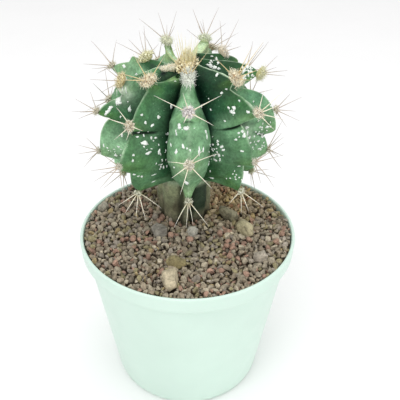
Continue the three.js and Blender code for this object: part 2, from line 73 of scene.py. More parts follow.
# Each rib's turn and its crest, as [distance from the body's axis, height]: its start at the crown, the
# first chin, the notch under it, the next chin, and so on down to the last chin.
RIBS = [
    (1, [[6, 161.5], [16, 162], [17, 158.5], [32, 152], [30.5, 148.5], [39.5, 131], [38, 127.5], [26, 105]]),
    (44, [[6, 163.5], [28.7, 163], [26.5, 158], [42.5, 151], [33, 144], [42, 127], [36, 126], [34.5, 110]]),
    (85, [
        [6, 165], [31.8, 158], [24.5, 152], [41.6, 131], [36.5, 128], [38.4, 118.5], [34, 115.5], [30, 108],
    ]),
    (130, [[6, 165.8], [31.5, 156.5], [30.5, 153.5], [38, 149], [34, 145], [42, 134], [37, 130], [33, 110]]),
    (160, [[6, 162.5], [25.5, 166], [24.5, 161.5], [35, 157], [31, 152], [41, 137], [36, 133], [31, 109]]),
    (202, [[6, 160], [27, 164], [25, 159], [40, 148], [34, 144], [41.5, 124], [37, 121], [29, 107]]),
    (244, [
        [6, 160.5], [28.8, 161.5], [31, 158.5], [40.5, 153.5], [34, 149], [43, 135], [37, 131], [34, 110],
    ]),
    (278, [
        [6, 162.5], [32.5, 153], [30, 148.5], [42.2, 140.5], [35, 138], [42.2, 119], [36, 116], [30, 108],
    ]),
    (319, [[6, 157.5], [25, 161], [26, 157], [37, 143.5], [36, 141.5], [45, 127], [38.7, 122.5], [33, 110]]),
]
CREST_OF = [np.array([*crest, STEM[0]], float) for _, crest in RIBS]
TURNS = np.array([turn for turn, _ in RIBS], float)
VALLEY = np.array([[5, 159.5], [11.5, 151], [18.5, 140], [22, 127], [18.5, 115], [14, 108.5]], float)
CROWN_MIDDLE = 158.5
NOTCH_DROP = 0.12

# The bend of a tooth's arc, as shares of the way out and of the way down: as a rule, of the full teeth by
# rib and level, of the one that stands up like a horn, and of the lowest teeth except the front rib's.
TOOTH_BEND = (0.75, 0.35)
FULL_BEND = (1.08, 0.13)
FULL_TEETH = ("3_1", "3_2", "3_3", "8_3")
HORN_BEND = (0.86, -0.9)
HORN = 5
LAST_BEND = (-0.15, 0.6)

# How far the flanks swell, half a level at a time from the crown's edge to the collar.
FLANK_SWELL = [0.5, 2.2, 2.6, 2.2, 2.2, 2.4, 2.2, 1.4, 0.4, 0.2, 0.0]
FRONT_SWELL = [0.0, 0.0, 0.8, 2.6, 4.3, 5.4, 4.9, 3.7, 2.1, 0.6, 0.0]
FULL_RADIUS = 25.0

# The spine bunches by level: the areole's rise above its chin, how far it nods outwards, the wool's
# half-sizes across, along and out, and the number, length and lean of its spines.
BUNCHES = [
    {"rise": 0.6, "nod": 42, "pad": (3.2, 4.2, 2.4), "spines": 5, "length": 13.5, "tilt": 40},
    {"rise": 1.5, "nod": 8, "pad": (2.5, 2.6, 1.7), "spines": 6, "length": 14.0, "tilt": 58},
    {"rise": 1.5, "nod": 0, "pad": (2.1, 2.2, 1.5), "spines": 6, "length": 13.0, "tilt": 60},
    {"rise": 1.2, "nod": 0, "pad": (1.7, 1.8, 1.3), "spines": 5, "length": 12.0, "tilt": 48},
]
# The areoles that sit well above their chin, and the pads that are smaller than their level's.
HIGH_AREOLES = {"3_1": 2.5, "3_2": 9.0, "4_1": 15.0, "5_1": 3.0, "7_1": 11.0, "8_1": 6.0}
SMALL_PADS = {
    "1_1": 0.8, "2_1": 0.88, "3_1": 0.75, "4_1": 0.75, "5_1": 0.8, "6_1": 0.75, "8_1": 0.8, "9_1": 0.92,
    "2_2": 0.85, "3_2": 0.55, "7_2": 0.7, "8_2": 0.55, "9_2": 0.88, "2_3": 0.55, "3_3": 0.6, "8_3": 0.6,
    "9_3": 0.55,
}

# The spines of the bunches that face the front, as (clock angle, lean, length).
FRONT_BUNCHES = {
    "1_2": [(-70, 70, 15), (67, 70, 14), (125, 66, 12), (-20, 50, 8), (200, 55, 7)],
    "1_3": [(-67, 62, 10), (57, 66, 14), (198, 64, 12), (133, 66, 13), (33, 60, 10), (-120, 58, 9)],
    "1_4": [(-125, 42, 13), (-165, 22, 12), (150, 24, 11), (118, 44, 14)],
    "2_2": [(30, 60, 9), (78, 62, 16), (100, 60, 9), (135, 66, 11), (180, 68, 9), (-80, 62, 7)],
    "9_2": [(-30, 62, 9), (-84, 64, 12), (80, 66, 11), (-150, 62, 8), (140, 55, 7)],
}

# Those of the bunches that stand out against the light, as (heading, climb, length): a heading is
# measured as a rib's turn is, and the climb is above the level.
OUTER_BUNCHES = {
    "1_1": [(268, 50, 13), (300, 68, 14), (60, 72, 13), (92, 52, 13), (330, 55, 9)],
    "2_1": [(100, 52, 17), (110, 62, 13), (85, 25, 10), (262, 45, 11), (40, 10, 8)],
    "3_1": [(120, 36, 10), (93, 5, 11), (86, -6, 10), (60, 30, 7)],
    "4_1": [(184, 57, 14), (136, 48, 16), (100, 15, 8), (245, 32, 8), (150, 15, 9)],
    "5_1": [(219, 50, 14), (145, 51, 15), (112, 30, 11), (184, 57, 8), (200, 20, 9)],
    "6_1": [(244, 33, 16), (206, 54, 13), (146, 52, 14), (180, 30, 9), (100, 60, 7)],
    "7_1": [(213, 52, 12), (186, 57, 13), (253, 24, 14), (240, 37, 10), (120, 40, 7)],
    "8_1": [(245, 32, 9), (268, 2, 13), (286, -23, 10), (250, 55, 9)],
    "9_1": [(272, 5, 12), (268, 15, 12), (275, 64, 12), (80, 57, 12), (315, 20, 8)],
    "3_2": [(104, 21, 13), (76, -21, 12), (87, -4, 9), (90, 50, 9), (60, -50, 9)],
    "4_2": [(130, 45, 13), (120, 38, 16), (155, 52, 13), (120, -10, 10)],
    "7_2": [(234, 42, 15), (171, 56, 12), (268, 3, 13), (276, -13, 9), (250, -30, 9)],
    "8_2": [(253, 24, 11), (270, 0, 11), (282, -17, 9), (213, 52, 9), (300, 10, 8)],
    "8_3": [(262, 12, 10), (275, -8, 10), (293, -40, 10), (240, 40, 8), (330, -10, 8)],
    "9_3": [(275, -8, 12), (288, -25, 12), (301, -38, 12), (14, -56, 15), (260, 35, 8)],
    "2_3": [(110, 27, 15), (63, -35, 13), (97, 10, 13), (45, -60, 9), (70, 50, 8)],
    "9_4": [(290, -28, 10), (311, -45, 11), (351, -56, 11), (26, -54, 12), (72, -26, 12)],
    "2_4": [(36, -51, 9), (70, -28, 12), (299, -36, 7), (10, -65, 10)],
}

# As shares of a pad's half-height out from its middle: the skin, where a spine's length counts from, and
# where it is rooted.
PAD_LIFT = 0.35
ROOT_START = 0.7
ROOT_SINK = 0.2
GOLDEN_TURN = 137.5
CROWN_TUFT = {
    "radius": 6.4,
    "height": 4.2,
    "middle": 160.5,
    "spines": 17,
    "length": 15.5,
    "lean": 15,
    "spread": 0.55,
    "thickness": 0.55,
}

# The larger stones: place, half-sizes, turn, colour and material slot.
STONES = {
    "stone_cream_tall": ((-7.5, -39), (3.9, 6.6, 3.6), 8, (198, 185, 156), "cream_stone"),
    "stone_ochre": ((-5.2, -27), (4.2, 2.8, 2.6), -12, (150, 138, 98), "ochre_stone"),
    "stone_olive": ((20.5, 11), (4.4, 4.6, 3.4), 38, (150, 144, 118), "olive_stone"),
    "stone_yellowish": ((28.5, -1.5), (4.2, 5.4, 3.4), 30, (182, 172, 138), "cream_stone"),
    "stone_dark_grey": ((-13.5, -3), (3.4, 4.2, 3), 20, (146, 141, 130), "grey_stone"),
    "stone_whitish": ((2.5, -3.5), (2.4, 2.9, 2.4), -25, (184, 181, 168), "pale_stone"),
    "stone_pale_right": ((34, -23), (3.2, 2.7, 2.3), 15, (176, 166, 150), "pale_stone"),
    "stone_pale_left": ((-43.5, 18), (2.6, 2.4, 2.2), 60, (170, 164, 148), "pale_stone"),
}
STONE_LIFT = 0.3
SLABS = {  # the squarish ones, with what their half-sizes are stretched by
    "stone_olive": (0.76, 1.2, 1.0),
    "stone_yellowish": (0.8, 1.15, 1.0),
    "stone_cream_tall": (0.94, 1, 1.1),
}

# ---------- the camera and the photograph's frame ----------

AIM_HEIGHT = 101.1
CAMERA_DISTANCE = 287.0
CAMERA_ELEVATION = 33.3
LENS = 54.0
SENSOR = 36.0
POT_LEFT_OF_MIDDLE = 12.5  # pixels
FOCAL_PIXELS = IMAGE * LENS / SENSOR

elevation = np.radians(CAMERA_ELEVATION)
BACKWARD = np.array([0, -np.cos(elevation), np.sin(elevation)])
CAMERA_AT = np.array([0, 0, AIM_HEIGHT]) + CAMERA_DISTANCE * BACKWARD
CAMERA_RIGHT = np.array([1.0, 0, 0])
CAMERA_UP = np.cross(CAMERA_RIGHT, -BACKWARD)


def pixel_ray(x, y):
    """The direction of the ray through a pixel of the photograph."""
    aside = (x - IMAGE / 2 + POT_LEFT_OF_MIDDLE) / FOCAL_PIXELS
    above = (IMAGE / 2 - y) / FOCAL_PIXELS
    ray = -BACKWARD + aside * CAMERA_RIGHT + above * CAMERA_UP
    return ray / np.linalg.norm(ray)


def seen_at(tree, x, y):
    """The place of the skin that shows at a pixel, or None, and its distance from the camera."""
    spot, _, _, depth = tree.ray_cast(Vector(CAMERA_AT), Vector(pixel_ray(x, y)))
    return (None if spot is None else np.array(spot)), depth


# ---------- numbers and colours ----------


def mix(start, end, share):
    """The value a share of the way from the start to the end."""
    return start + (end - start) * share


def smoothstep(low, high, value):
    """A smooth rise from 0 where the value is low to 1 where it is high."""
    share = np.clip((value - low) / (high - low), 0, 1)
    return share * share * (3 - 2 * share)


def bell(distance, width):
    """A smooth hump: 1 at no distance, a third at the width and next to nothing at twice that."""
    return np.exp(-((distance / width) ** 2))


def unit(vectors):
    """The vectors at a length of 1."""
    return vectors / np.linalg.norm(vectors, axis=-1, keepdims=True)


def draw(*keys):
    """A number from 0 to 1 that its keys alone decide, as the solids' spines and heaps have it."""
    total = 0.5 + sum(key * (12.9898 + 65.233 * index) for index, key in enumerate(keys))
    wave = np.sin(total) * 43758.5453
    return float(wave - np.floor(wave))


def around(count):
    """Angles spread evenly round a circle."""
    return np.arange(count) * 2 * np.pi / count


def ripple(points, size, seed, waves=8):
    """A smooth noise of about -1 to 1 over the points, with bumps of about this size."""
    rng = np.random.RandomState(seed)
    ways = unit(rng.normal(size=(waves, 3)))
    lengths = size * rng.uniform(1.3, 3.0, waves)
    phases = rng.uniform(0, 2 * np.pi, waves)
    return np.sin(points @ (ways / lengths[:, None]).T * 2 * np.pi + phases).sum(-1) / np.sqrt(waves)


def linear(colour):
    """A colour of 0 to 255 as the eye reads it, in linear light."""
    share = np.asarray(colour, float) / 255
    return np.where(share <= 0.04045, share / 12.92, ((share + 0.055) / 1.055) ** 2.4)


def painted(base, colour, weight):
    """The base colour, or colours, with another colour laid over it by each of the weights."""
    return mix(base, linear(colour), np.asarray(weight)[..., None])


def layered(base, tones, **weights):
    """The base colours with the named tones laid over them in turn, by their weights."""
    for name, weight in weights.items():
        base = painted(base, tones[name], weight)
    return base


# ---------- meshes ----------


class Soup:
    """Closed shapes gathered into one mesh: points, faces, a material number a face, a colour a point."""

    def __init__(self):
        self.points, self.faces, self.materials, self.colours = [], [], [], []
        self.count = 0

    def add(self, points, faces, colours, material=0):
        """Add one shape, in one colour or in one colour a point."""
        points = np.asarray(points, float).reshape(-1, 3)
        self.faces.extend([tuple(index + self.count for index in face) for face in faces])
        self.materials.extend([material] * len(faces))
        self.colours.append(np.broadcast_to(np.asarray(colours, float), points.shape))
        self.points.append(points)
        self.count += len(points)

    def mesh(self, name, materials=(), smooth=True):
        """The gathered shapes as a mesh in metres, with their colours as its paint."""
        mesh = bpy.data.meshes.new(name)
        mesh.from_pydata((np.concatenate(self.points) * MM).tolist(), [], self.faces)
        paint = mesh.color_attributes.new("paint", "FLOAT_COLOR", "POINT")
        shades = np.concatenate(self.colours)
        rgba = np.hstack([shades, np.ones((len(shades), 1))]).astype(np.float32)
        paint.data.foreach_set("color", rgba.ravel())
        mesh.polygons.foreach_set("use_smooth", [smooth] * len(self.faces))
        mesh.polygons.foreach_set("material_index", self.materials)
        for material in materials:
            mesh.materials.append(material)
        mesh.validate()
        mesh.update()
        return mesh

    def piece(self, name, materials, slot, replaces=(), smooth=True):
        """The gathered shapes as a piece that rides on the root body."""
        piece = in_scene(name, self.mesh(name, materials, smooth))
        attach(piece, "root")
        if replaces:
            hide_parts(*replaces)
        return piece


def in_scene(name, data):
    """A new object of this data, linked into the scene."""
    thing = bpy.data.objects.new(name, data)
    bpy.context.scene.collection.objects.link(thing)
    return thing


def grid_faces(rows, columns, start=0):
    """The faces of rows of points that each close on themselves."""
    faces = []
    for row in range(rows - 1):
        for column in range(columns):
            here = start + row * columns + column
            beside = start + row * columns + (column + 1) % columns
            faces.append((here, here + columns, beside + columns, beside))
    return faces


def end_faces(rows, columns, start=0):
    """The faces that close the first and the last of these rows."""
    last = start + (rows - 1) * columns
    return [tuple(range(start, start + columns)), tuple(reversed(range(last, last + columns)))]


def turned(section, sides):
    """A closed shape turned from its section of (radius, height), from the base's middle outwards."""
    section = np.array(section, float)
    angles = around(sides)
    heights = np.broadcast_to(section[:, 1:], (len(section), sides))
    points = np.stack([section[:, :1] * np.cos(angles), section[:, :1] * np.sin(angles), heights], -1)
    faces = grid_faces(len(section), sides) + end_faces(len(section), sides)
    return points.reshape(-1, 3), [face[::-1] for face in faces]


def tubes(paths, radii, sides):
    """Closed tubes along paths (tubes, steps, 3) with radii (tubes, steps): all points, all faces."""
    count, steps, _ = paths.shape
    along = unit(np.gradient(paths, axis=1))
    pick = np.where(np.abs(along[:, :1, 2:]) > 0.8, [[[1.0, 0, 0]]], [[[0, 0, 1.0]]])
    across = unit(np.cross(along, np.broadcast_to(pick, along.shape)))
    third = np.cross(along, across)
    angles = around(sides)
    ring = across[:, :, None] * np.cos(angles)[:, None] + third[:, :, None] * np.sin(angles)[:, None]
    points = paths[:, :, None] + ring * radii[:, :, None, None]
    faces = []
    for index in range(count):
        start = index * steps * sides
        faces += grid_faces(steps, sides, start) + end_faces(steps, sides, start)
    return points.reshape(-1, 3), faces


def icosphere(subdivisions):
    """The points and the faces of a unit icosphere."""
    shape = bmesh.new()
    bmesh.ops.create_icosphere(shape, subdivisions=subdivisions, radius=1)
    points = np.array([vertex.co[:] for vertex in shape.verts])
    faces = [tuple(vertex.index for vertex in face.verts) for face in shape.faces]
    shape.free()
    return points, faces


# ---------- materials ----------


class Surface:
    """A procedural material in the making: its node tree and its shader."""

    def __init__(self, name, **inputs):
        self.material = bpy.data.materials.new(name)
        self.material.use_nodes = True
        self.tree = self.material.node_tree
        self.shader = self.tree.nodes["Principled BSDF"]
        for socket, value in inputs.items():
            self.shader.inputs[socket.replace("_", " ")].default_value = value

    def feed(self, socket, value):
        """Link a socket to another node's socket, or set its value, which may be a grey for a colour."""
        if isinstance(value, bpy.types.NodeSocket):
            self.tree.links.new(value, socket)
        elif socket.type == "RGBA":
            socket.default_value = (*np.broadcast_to(value, 3), 1)
        else:
            socket.default_value = value

    def node(self, kind, inputs=None, **settings):
        """A new node with these inputs, which may be other nodes' sockets, and these settings."""
        node = self.tree.nodes.new(kind)
        for key, value in settings.items():
            setattr(node, key, value)
        for key, value in (inputs or {}).items():
            self.feed(node.inputs[key], value)
        return node

    def place(self):
        return self.node("ShaderNodeTexCoord").outputs["Object"]

    def noise(self, scale, detail=4.0, roughness=0.6):
        inputs = {"Vector": self.place(), "Scale": scale, "Detail": detail, "Roughness": roughness}
        return self.node("ShaderNodeTexNoise", inputs).outputs["Fac"]

    def ramp(self, value, *stops):
        """A ramp over the value, with stops of (place, grey)."""
        node = self.node("ShaderNodeValToRGB", {"Fac": value})
        elements = node.color_ramp.elements
        while len(elements) < len(stops):
            elements.new(0.5)
        for element, (place, grey) in zip(elements, stops):
            element.position = place
            element.color = (grey, grey, grey, 1)
        return node.outputs["Color"]

    def blend(self, mode, share, first, second):
        """Two colours, or greys, blended by a share; each may be a socket or a plain value."""
        inputs = {0: share, 6: first, 7: second}
        return self.node("ShaderNodeMix", inputs, data_type="RGBA", blend_type=mode).outputs[2]

    def paint(self, *shades):
        """The mesh's paint, multiplied by each of the shades."""
        colour = self.node("ShaderNodeAttribute", attribute_name="paint").outputs["Color"]
        for shade in shades:
            colour = self.blend("MULTIPLY", 1.0, colour, shade)
        return colour

    def finished(self, colour, height, distance, strength, rough=None):
        """The material, with its colour, a bump of this height, and a roughness where that varies."""
        self.feed(self.shader.inputs["Base Color"], colour)
        if rough is not None:
            self.feed(self.shader.inputs["Roughness"], rough)
        bump = self.node("ShaderNodeBump", {"Height": height, "Distance": distance, "Strength": strength})
        self.feed(self.shader.inputs["Normal"], bump.outputs["Normal"])
        return self.material


def skin_material():
    """Matt waxy skin: its paint clouded at two scales, with tiny pale pores and a fine grain."""
    skin = Surface("cactus_skin", Roughness=0.5, Specular_IOR_Level=0.28)
    cloud = skin.ramp(skin.noise(130), (0.3, 0.64), (0.7, 1.28))
    grain = skin.noise(900, detail=3)
    colour = skin.paint(cloud, skin.ramp(grain, (0.3, 0.7), (0.7, 1.24)))
    cells = skin.node("ShaderNodeTexVoronoi", {"Vector": skin.place(), "Scale": 1150.0})
    pores = skin.ramp(cells.outputs["Distance"], (0.1, 1.0), (0.2, 0.0))
    spots = skin.blend("MULTIPLY", 1.0, pores, skin.ramp(skin.noise(260), (0.52, 0.0), (0.66, 0.75)))
    colour = skin.blend("MIX", spots, colour, linear((190, 218, 190)))
    rough = skin.ramp(skin.noise(300), (0.3, 0.5), (0.7, 0.68))
    return skin.finished(colour, skin.blend("ADD", 0.5, grain, spots), 0.00025, 0.6, rough)


def wool_material(name, darkest):
    """Matt felt: its paint broken up by a fine fibrous grain."""
    felt = Surface(name, Roughness=0.95, Sheen_Weight=0.25)
    grain = felt.noise(1500, detail=5, roughness=0.7)
    return felt.finished(felt.paint(felt.ramp(grain, (0.3, darkest), (0.65, 1.15))), grain, 0.0004, 0.8)


def spine_material():
    """Horn that lets a little light through, with a fine grain."""
    depths = (0.001, 0.0007, 0.0004)
    horn = Surface("spine_horn", Roughness=0.42, Subsurface_Weight=0.1, Subsurface_Radius=depths)
    grain = horn.noise(1800, detail=2)
    return horn.finished(horn.paint(horn.ramp(grain, (0.3, 0.82), (0.7, 1.12))), grain, 0.0001, 0.5)


def stone_material(name, grain_scale, bump):
    """Rough dull stone: its paint speckled with darker and paler mineral grain."""
    stone = Surface(name, Roughness=0.9)
    cloud = stone.ramp(stone.noise(grain_scale * 0.3), (0.3, 0.78), (0.7, 1.18))
    grain = stone.noise(grain_scale, detail=6, roughness=0.72)
    speckle = stone.ramp(grain, (0.32, 0.52), (0.5, 1.0), (0.7, 1.36))
    rough = stone.ramp(grain, (0.3, 0.95), (0.7, 0.75))
    return stone.finished(stone.paint(cloud, speckle), grain, bump, 0.9, rough)


def pot_material():
    """Thin pale plastic: faint cloudiness, fine grain and dull rubbed patches."""
    depths = (0.003, 0.004, 0.0035)
    pot = Surface("pot_plastic", Roughness=0.38, Subsurface_Weight=0.12, Subsurface_Radius=depths)
    cloud = pot.ramp(pot.noise(25, detail=3), (0.3, 0.965), (0.7, 1.02))
    rough = pot.ramp(pot.noise(160, detail=6, roughness=0.7), (0.35, 0.32), (0.7, 0.5))
    return pot.finished(pot.paint(cloud), pot.noise(1300, detail=2), 0.00006, 0.5, rough)


def floor_material():
    """A matt pale floor with the faintest of clouds."""
    floor = Surface("floor", Roughness=0.9)
    floor.feed(floor.shader.inputs["Base Color"], floor.ramp(floor.noise(6), (0.3, 0.93), (0.7, 0.95)))
    return floor.material


# ---------- the skin ----------

# The columns across a flank, as shares of the way from the valley to the crest.
SHARES = np.array([
    0, 0.06, 0.13, 0.21, 0.3, 0.4, 0.5, 0.6, 0.69, 0.77, 0.84, 0.9, 0.945, 0.975, 0.99, 1.0,
])
FLANK = len(SHARES) - 1
TEETH_FROM = 0.68  # where on a flank the teeth begin to show
ROUND_FROM = 0.92  # where it starts to round off into the crest
PINCH = 0.1  # how much narrower a rib is at a notch, as a share of its width there
PINCH_RISE = 0.3  # how far down a tooth it has come back to its full width
CALM_REACH = 7.5  # how far along the crest a flank's lower part smooths out the teeth
TIP_DROP = 3.0  # how far a rib's last chin hangs below the flanks beside it
SLIT_WIDTH = 0.9  # half the width of the crease that runs in from a notch

# How deep the creases at the three notches are, and where on the flank they begin, by rib.
SLITS = {0: ((0.0, 0.8, 0.0), 0.75), 1: ((0.0, 2.4, 0.0), 0.4), 8: ((0.0, 1.5, 0.0), 0.3)}
OTHER_SLITS = ((0.0, 1.0, 0.2), 0.55)

# How much broader a rib is just under its crest, by rib and then at these levels.
BLUNT_LEVELS = (0.3, 1, 2, 3.3, 4.2)
BLUNT = {0: (0.6, 1.0, 1.0, 0.6, 0.0), 4: (2.8, 2.8, 0.4, 0.3, 0.3), 5: (2.0, 1.9, 0.4, 0.3, 0.3)}
OTHERS_BLUNT = (0.5, 0.4, 0.3, 0.3, 0.3)
FINS = (4, 5)  # the ribs at the back, whose flanks are hollow near the crown
FIN_HOLLOW = 4.4
SEGMENT_ROWS = [18, 7, 26, 7, 26, 7, 26, 14]  # crown, then a lip and a tooth three times, then underside
ROW_CROWDING = 1.5  # how much closer together the rows lie near a notch
LEVEL_AT = np.array([0, 1, 1 + NOTCH_DROP, 2, 2 + NOTCH_DROP, 3, 3 + NOTCH_DROP, 4, 5])
LIPS = (1, 3, 5)
TEETH = (2, 4, 6)
NECK_ROWS = 34
NECK_WAIST = 1.3  # how much the neck draws in over the grit

# The grooves between the neck's lobes, as (turn, depth, width).
NECK_GROOVES = [
    (-7, 2.6, 7), (15, 2.4, 6), (-66, 2.0, 9), (66, 2.0, 9), (108, 1.2, 9), (150, 1.2, 9), (196, 1.2, 9),
    (240, 1.2, 9),
]


def outwards(turn):
    """The level way out from an upright axis at a turn; a quarter turn on, it is the way across a rib."""
    angle = np.radians(turn)
    return np.stack([np.sin(angle), -np.cos(angle), 0 * angle], -1)


def in_space(turn, out, up):
    """The place at a turn, a distance from the body's axis and a height."""
    angle = np.radians(turn)
    return np.stack(np.broadcast_arrays(out * np.sin(angle), STEM_BACK - out * np.cos(angle), up), -1)


def turn_between(turns, other):
    """How far turns are from another, from -180 to 180."""
    return (turns - other + 180) % 360 - 180


def tooth_bends(number):
    """The bends of a rib's four teeth."""
    bends = [FULL_BEND if f"{number + 1}_{level}" in FULL_TEETH else TOOTH_BEND for level in (1, 2, 3)]
    if number == HORN:
        bends[0] = HORN_BEND
    return np.array([*bends, LAST_BEND if number else TOOTH_BEND])


def tooth_crest(start, end, bend, step):
    """A swelling arc from a notch down to a chin, as [distance out, height] at each step."""
    bend = mix(start, end, bend)
    step = np.asarray(step, float)[..., None]
    return (1 - step) ** 2 * start + 2 * step * (1 - step) * bend + step**2 * end


def valley_curve(share):
    """The valley's Catmull-Rom curve at shares from 0 to 1."""
    last = len(VALLEY) - 1
    spot = np.asarray(share, float) * last
    index = np.minimum(np.floor(spot).astype(int), last - 1)
    weight = (spot - index)[..., None]
    before = VALLEY[np.maximum(index - 1, 0)]
    here, there = VALLEY[index], VALLEY[index + 1]
    after = VALLEY[np.minimum(index + 2, last)]
    leave, arrive = (there - before) / 2, (after - here) / 2
    cubic = (2 * here - 2 * there + leave + arrive) * weight**3
    square = (3 * there - 3 * here - 2 * leave - arrive) * weight**2
    return cubic + square + leave * weight + here


def valley_turn(number):
    """The turn of the valley that follows a rib."""
    here = TURNS[number % len(RIBS)]
    ahead = TURNS[(number + 1) % len(RIBS)]
    return here + ((ahead - here) % 360) / 2


def skin_rows():
    """Every row's segment along the crest and its step within that segment."""
    segments, steps = [], []
    for segment, count in enumerate(SEGMENT_ROWS):
        even = np.arange(count) / count
        if segment in LIPS:
            even = 1 - (1 - even) ** ROW_CROWDING
        elif segment in TEETH:
            even = even**ROW_CROWDING
        segments += [segment] * count
        steps += list(even)
    return np.array(segments + [len(SEGMENT_ROWS) - 1]), np.array(steps + [1.0])


def row_fullness(segments, steps):
    """How far a rib has its whole width at each row: less at the notches, whole at the chins."""
    tooth = np.isin(segments, TEETH)
    lip = np.isin(segments, LIPS)
    full = np.ones(len(steps))
    full[tooth] = np.sin(np.pi / 2 * np.minimum(1, steps[tooth] / PINCH_RISE))
    full[lip] = 1 - smoothstep(0, 1, steps[lip])
    return full


def slit_depths(segments, along, depths):
    """How deep the crease that runs in from the nearest notch is at each row."""
    depth = np.zeros(len(along))
    for tooth, deepest in zip(TEETH, depths):
        notch = along[np.flatnonzero(segments == tooth)[0]]
        depth += deepest * bell(along - notch, SLIT_WIDTH)
    return depth


def calmed(line, along, level):
    """A crest's line with its teeth smoothed out, as the flanks below it have it."""
    near = bell(along[:, None] - along, CALM_REACH) * np.gradient(along)
    edge = np.minimum(along, along[-1] - along)[:, None]
    calm = mix(line, near @ line / near.sum(1, keepdims=True), np.minimum(1, edge / CALM_REACH))
    calm[:, 1] += TIP_DROP * bell(level - 4, 0.3)
    return calm


def rib_surface(number, segments, steps, side):
    """One flank of a rib from the valley to the crest, with its creases' depth and its rows' level."""
    crest, turn = CREST_OF[number], TURNS[number]
    start, end = crest[segments], crest[segments + 1]
    arc = (segments % 2 == 0)[:, None]
    bends = tooth_bends(number)[segments // 2]
    line = np.where(arc, tooth_crest(start, end, bends, steps), mix(start, end, steps[:, None]))
    level = mix(LEVEL_AT[segments], LEVEL_AT[segments + 1], steps)
    along = np.concatenate([[0], np.cumsum(np.linalg.norm(np.diff(line, axis=0), axis=1))])
    depths, begin = SLITS.get(number, OTHER_SLITS)
    slit = slit_depths(segments, along, depths)[:, None] * smoothstep(begin, begin + 0.3, SHARES)
    in_valley = valley_curve(level / (len(VALLEY) - 1))
    low = in_space(valley_turn(number - 1 if side < 0 else number), in_valley[:, 0], in_valley[:, 1])
    toothed = smoothstep(TEETH_FROM, 1.0, SHARES)[:, None]
    crest_line = mix(calmed(line, along, level)[:, None], line[:, None], toothed)
    high = in_space(turn, crest_line[..., 0], crest_line[..., 1])
    points = mix(low[:, None], high, SHARES[:, None])
    aside = side * outwards(turn + 90)
    swell = np.interp(2 * level, np.arange(len(FLANK_SWELL)), FLANK_SWELL if number else FRONT_SWELL)
    if number in FINS:
        swell = swell - FIN_HOLLOW * smoothstep(1.7, 0.9, level)
    width = (swell * np.minimum(1, line[:, 0] / FULL_RADIUS))[:, None] * np.sin(np.pi * SHARES)
    blunt = np.interp(level, BLUNT_LEVELS, BLUNT.get(number, OTHERS_BLUNT))[:, None]
    edge = np.maximum(0, SHARES - ROUND_FROM) / (1 - ROUND_FROM)
    blunt = blunt * smoothstep(0.5, ROUND_FROM, SHARES) * np.sqrt(1 - edge**2)
    points = points + (width + blunt)[..., None] * aside
    lateral = (points - in_space(0, 0, 0)) @ aside
    full = row_fullness(segments, steps)[:, None]
    inwards = lateral * PINCH * (1 - full) * smoothstep(0.65, 0.9, SHARES)
    inwards += np.minimum(slit, 0.7 * lateral)
    return points - inwards[..., None] * aside, slit, level


def smoothed(points, axis, weight, wrap):
    """Points drawn towards the mean of their two neighbours along an axis."""
    before, after = np.roll(points, 1, axis), np.roll(points, -1, axis)
    moved = mix(points, (before + after) / 2, weight)
    if not wrap:
        ends = [slice(None)] * points.ndim
        for edge in (slice(0, 1), slice(-1, None)):
            ends[axis] = edge
            moved[tuple(ends)] = points[tuple(ends)]
    return moved


def skin_roughness(points):
    """How the skin's grid is pushed in and out by its small swellings, away from the neck."""
    across = np.roll(points, -1, 1) - np.roll(points, 1, 1)
    out = np.cross(np.gradient(points, axis=0), across)
    out /= np.linalg.norm(out, axis=-1, keepdims=True) + 1e-9
    height = 0.3 * ripple(points, 7, 11) + 0.1 * ripple(points, 2.2, 12)
    height *= smoothstep(10, 13, np.linalg.norm(points - points[-1].mean(0), axis=-1))
    return out * height[..., None]


class Skin:
    """The cactus's skin as a grid of points, with what its paint needs to know at each point."""

    def __init__(self):
        segments, steps = skin_rows()
        flanks, slits, shares, ribs, sides = [], [], [], [], []
        for number in range(len(RIBS)):
            for side, columns in ((-1, slice(None, -1)), (1, slice(None, 0, -1))):
                flank, slit, level = rib_surface(number, segments, steps, side)
                flanks.append(flank[:, columns])
                slits.append(slit[:, columns])
                shares.append(SHARES[columns])
                ribs += [number] * FLANK
                sides += [side] * FLANK
        points = smoothed(np.concatenate(flanks, 1), 1, 0.5, True)
        points = smoothed(smoothed(points, 1, 0.5, True), 0, 0.4, False)
        self.points = points + skin_roughness(points)
        self.slit = np.concatenate(slits, 1)
        self.rows, self.columns = self.slit.shape
        down = [level[:, None], segments[:, None], steps[:, None]]
        self.level, self.segment, self.step = (np.broadcast_to(each, self.slit.shape) for each in down)
        across = [sides, ribs, np.concatenate(shares)]
        self.side, self.rib, self.share = (np.broadcast_to(each, self.slit.shape) for each in across)

    def tree(self):
        """The skin's faces, which look inwards, to cast rays at."""
        faces = [face[::-1] for face in grid_faces(self.rows, self.columns)]
        return BVHTree.FromPolygons(self.points.reshape(-1, 3).tolist(), faces)


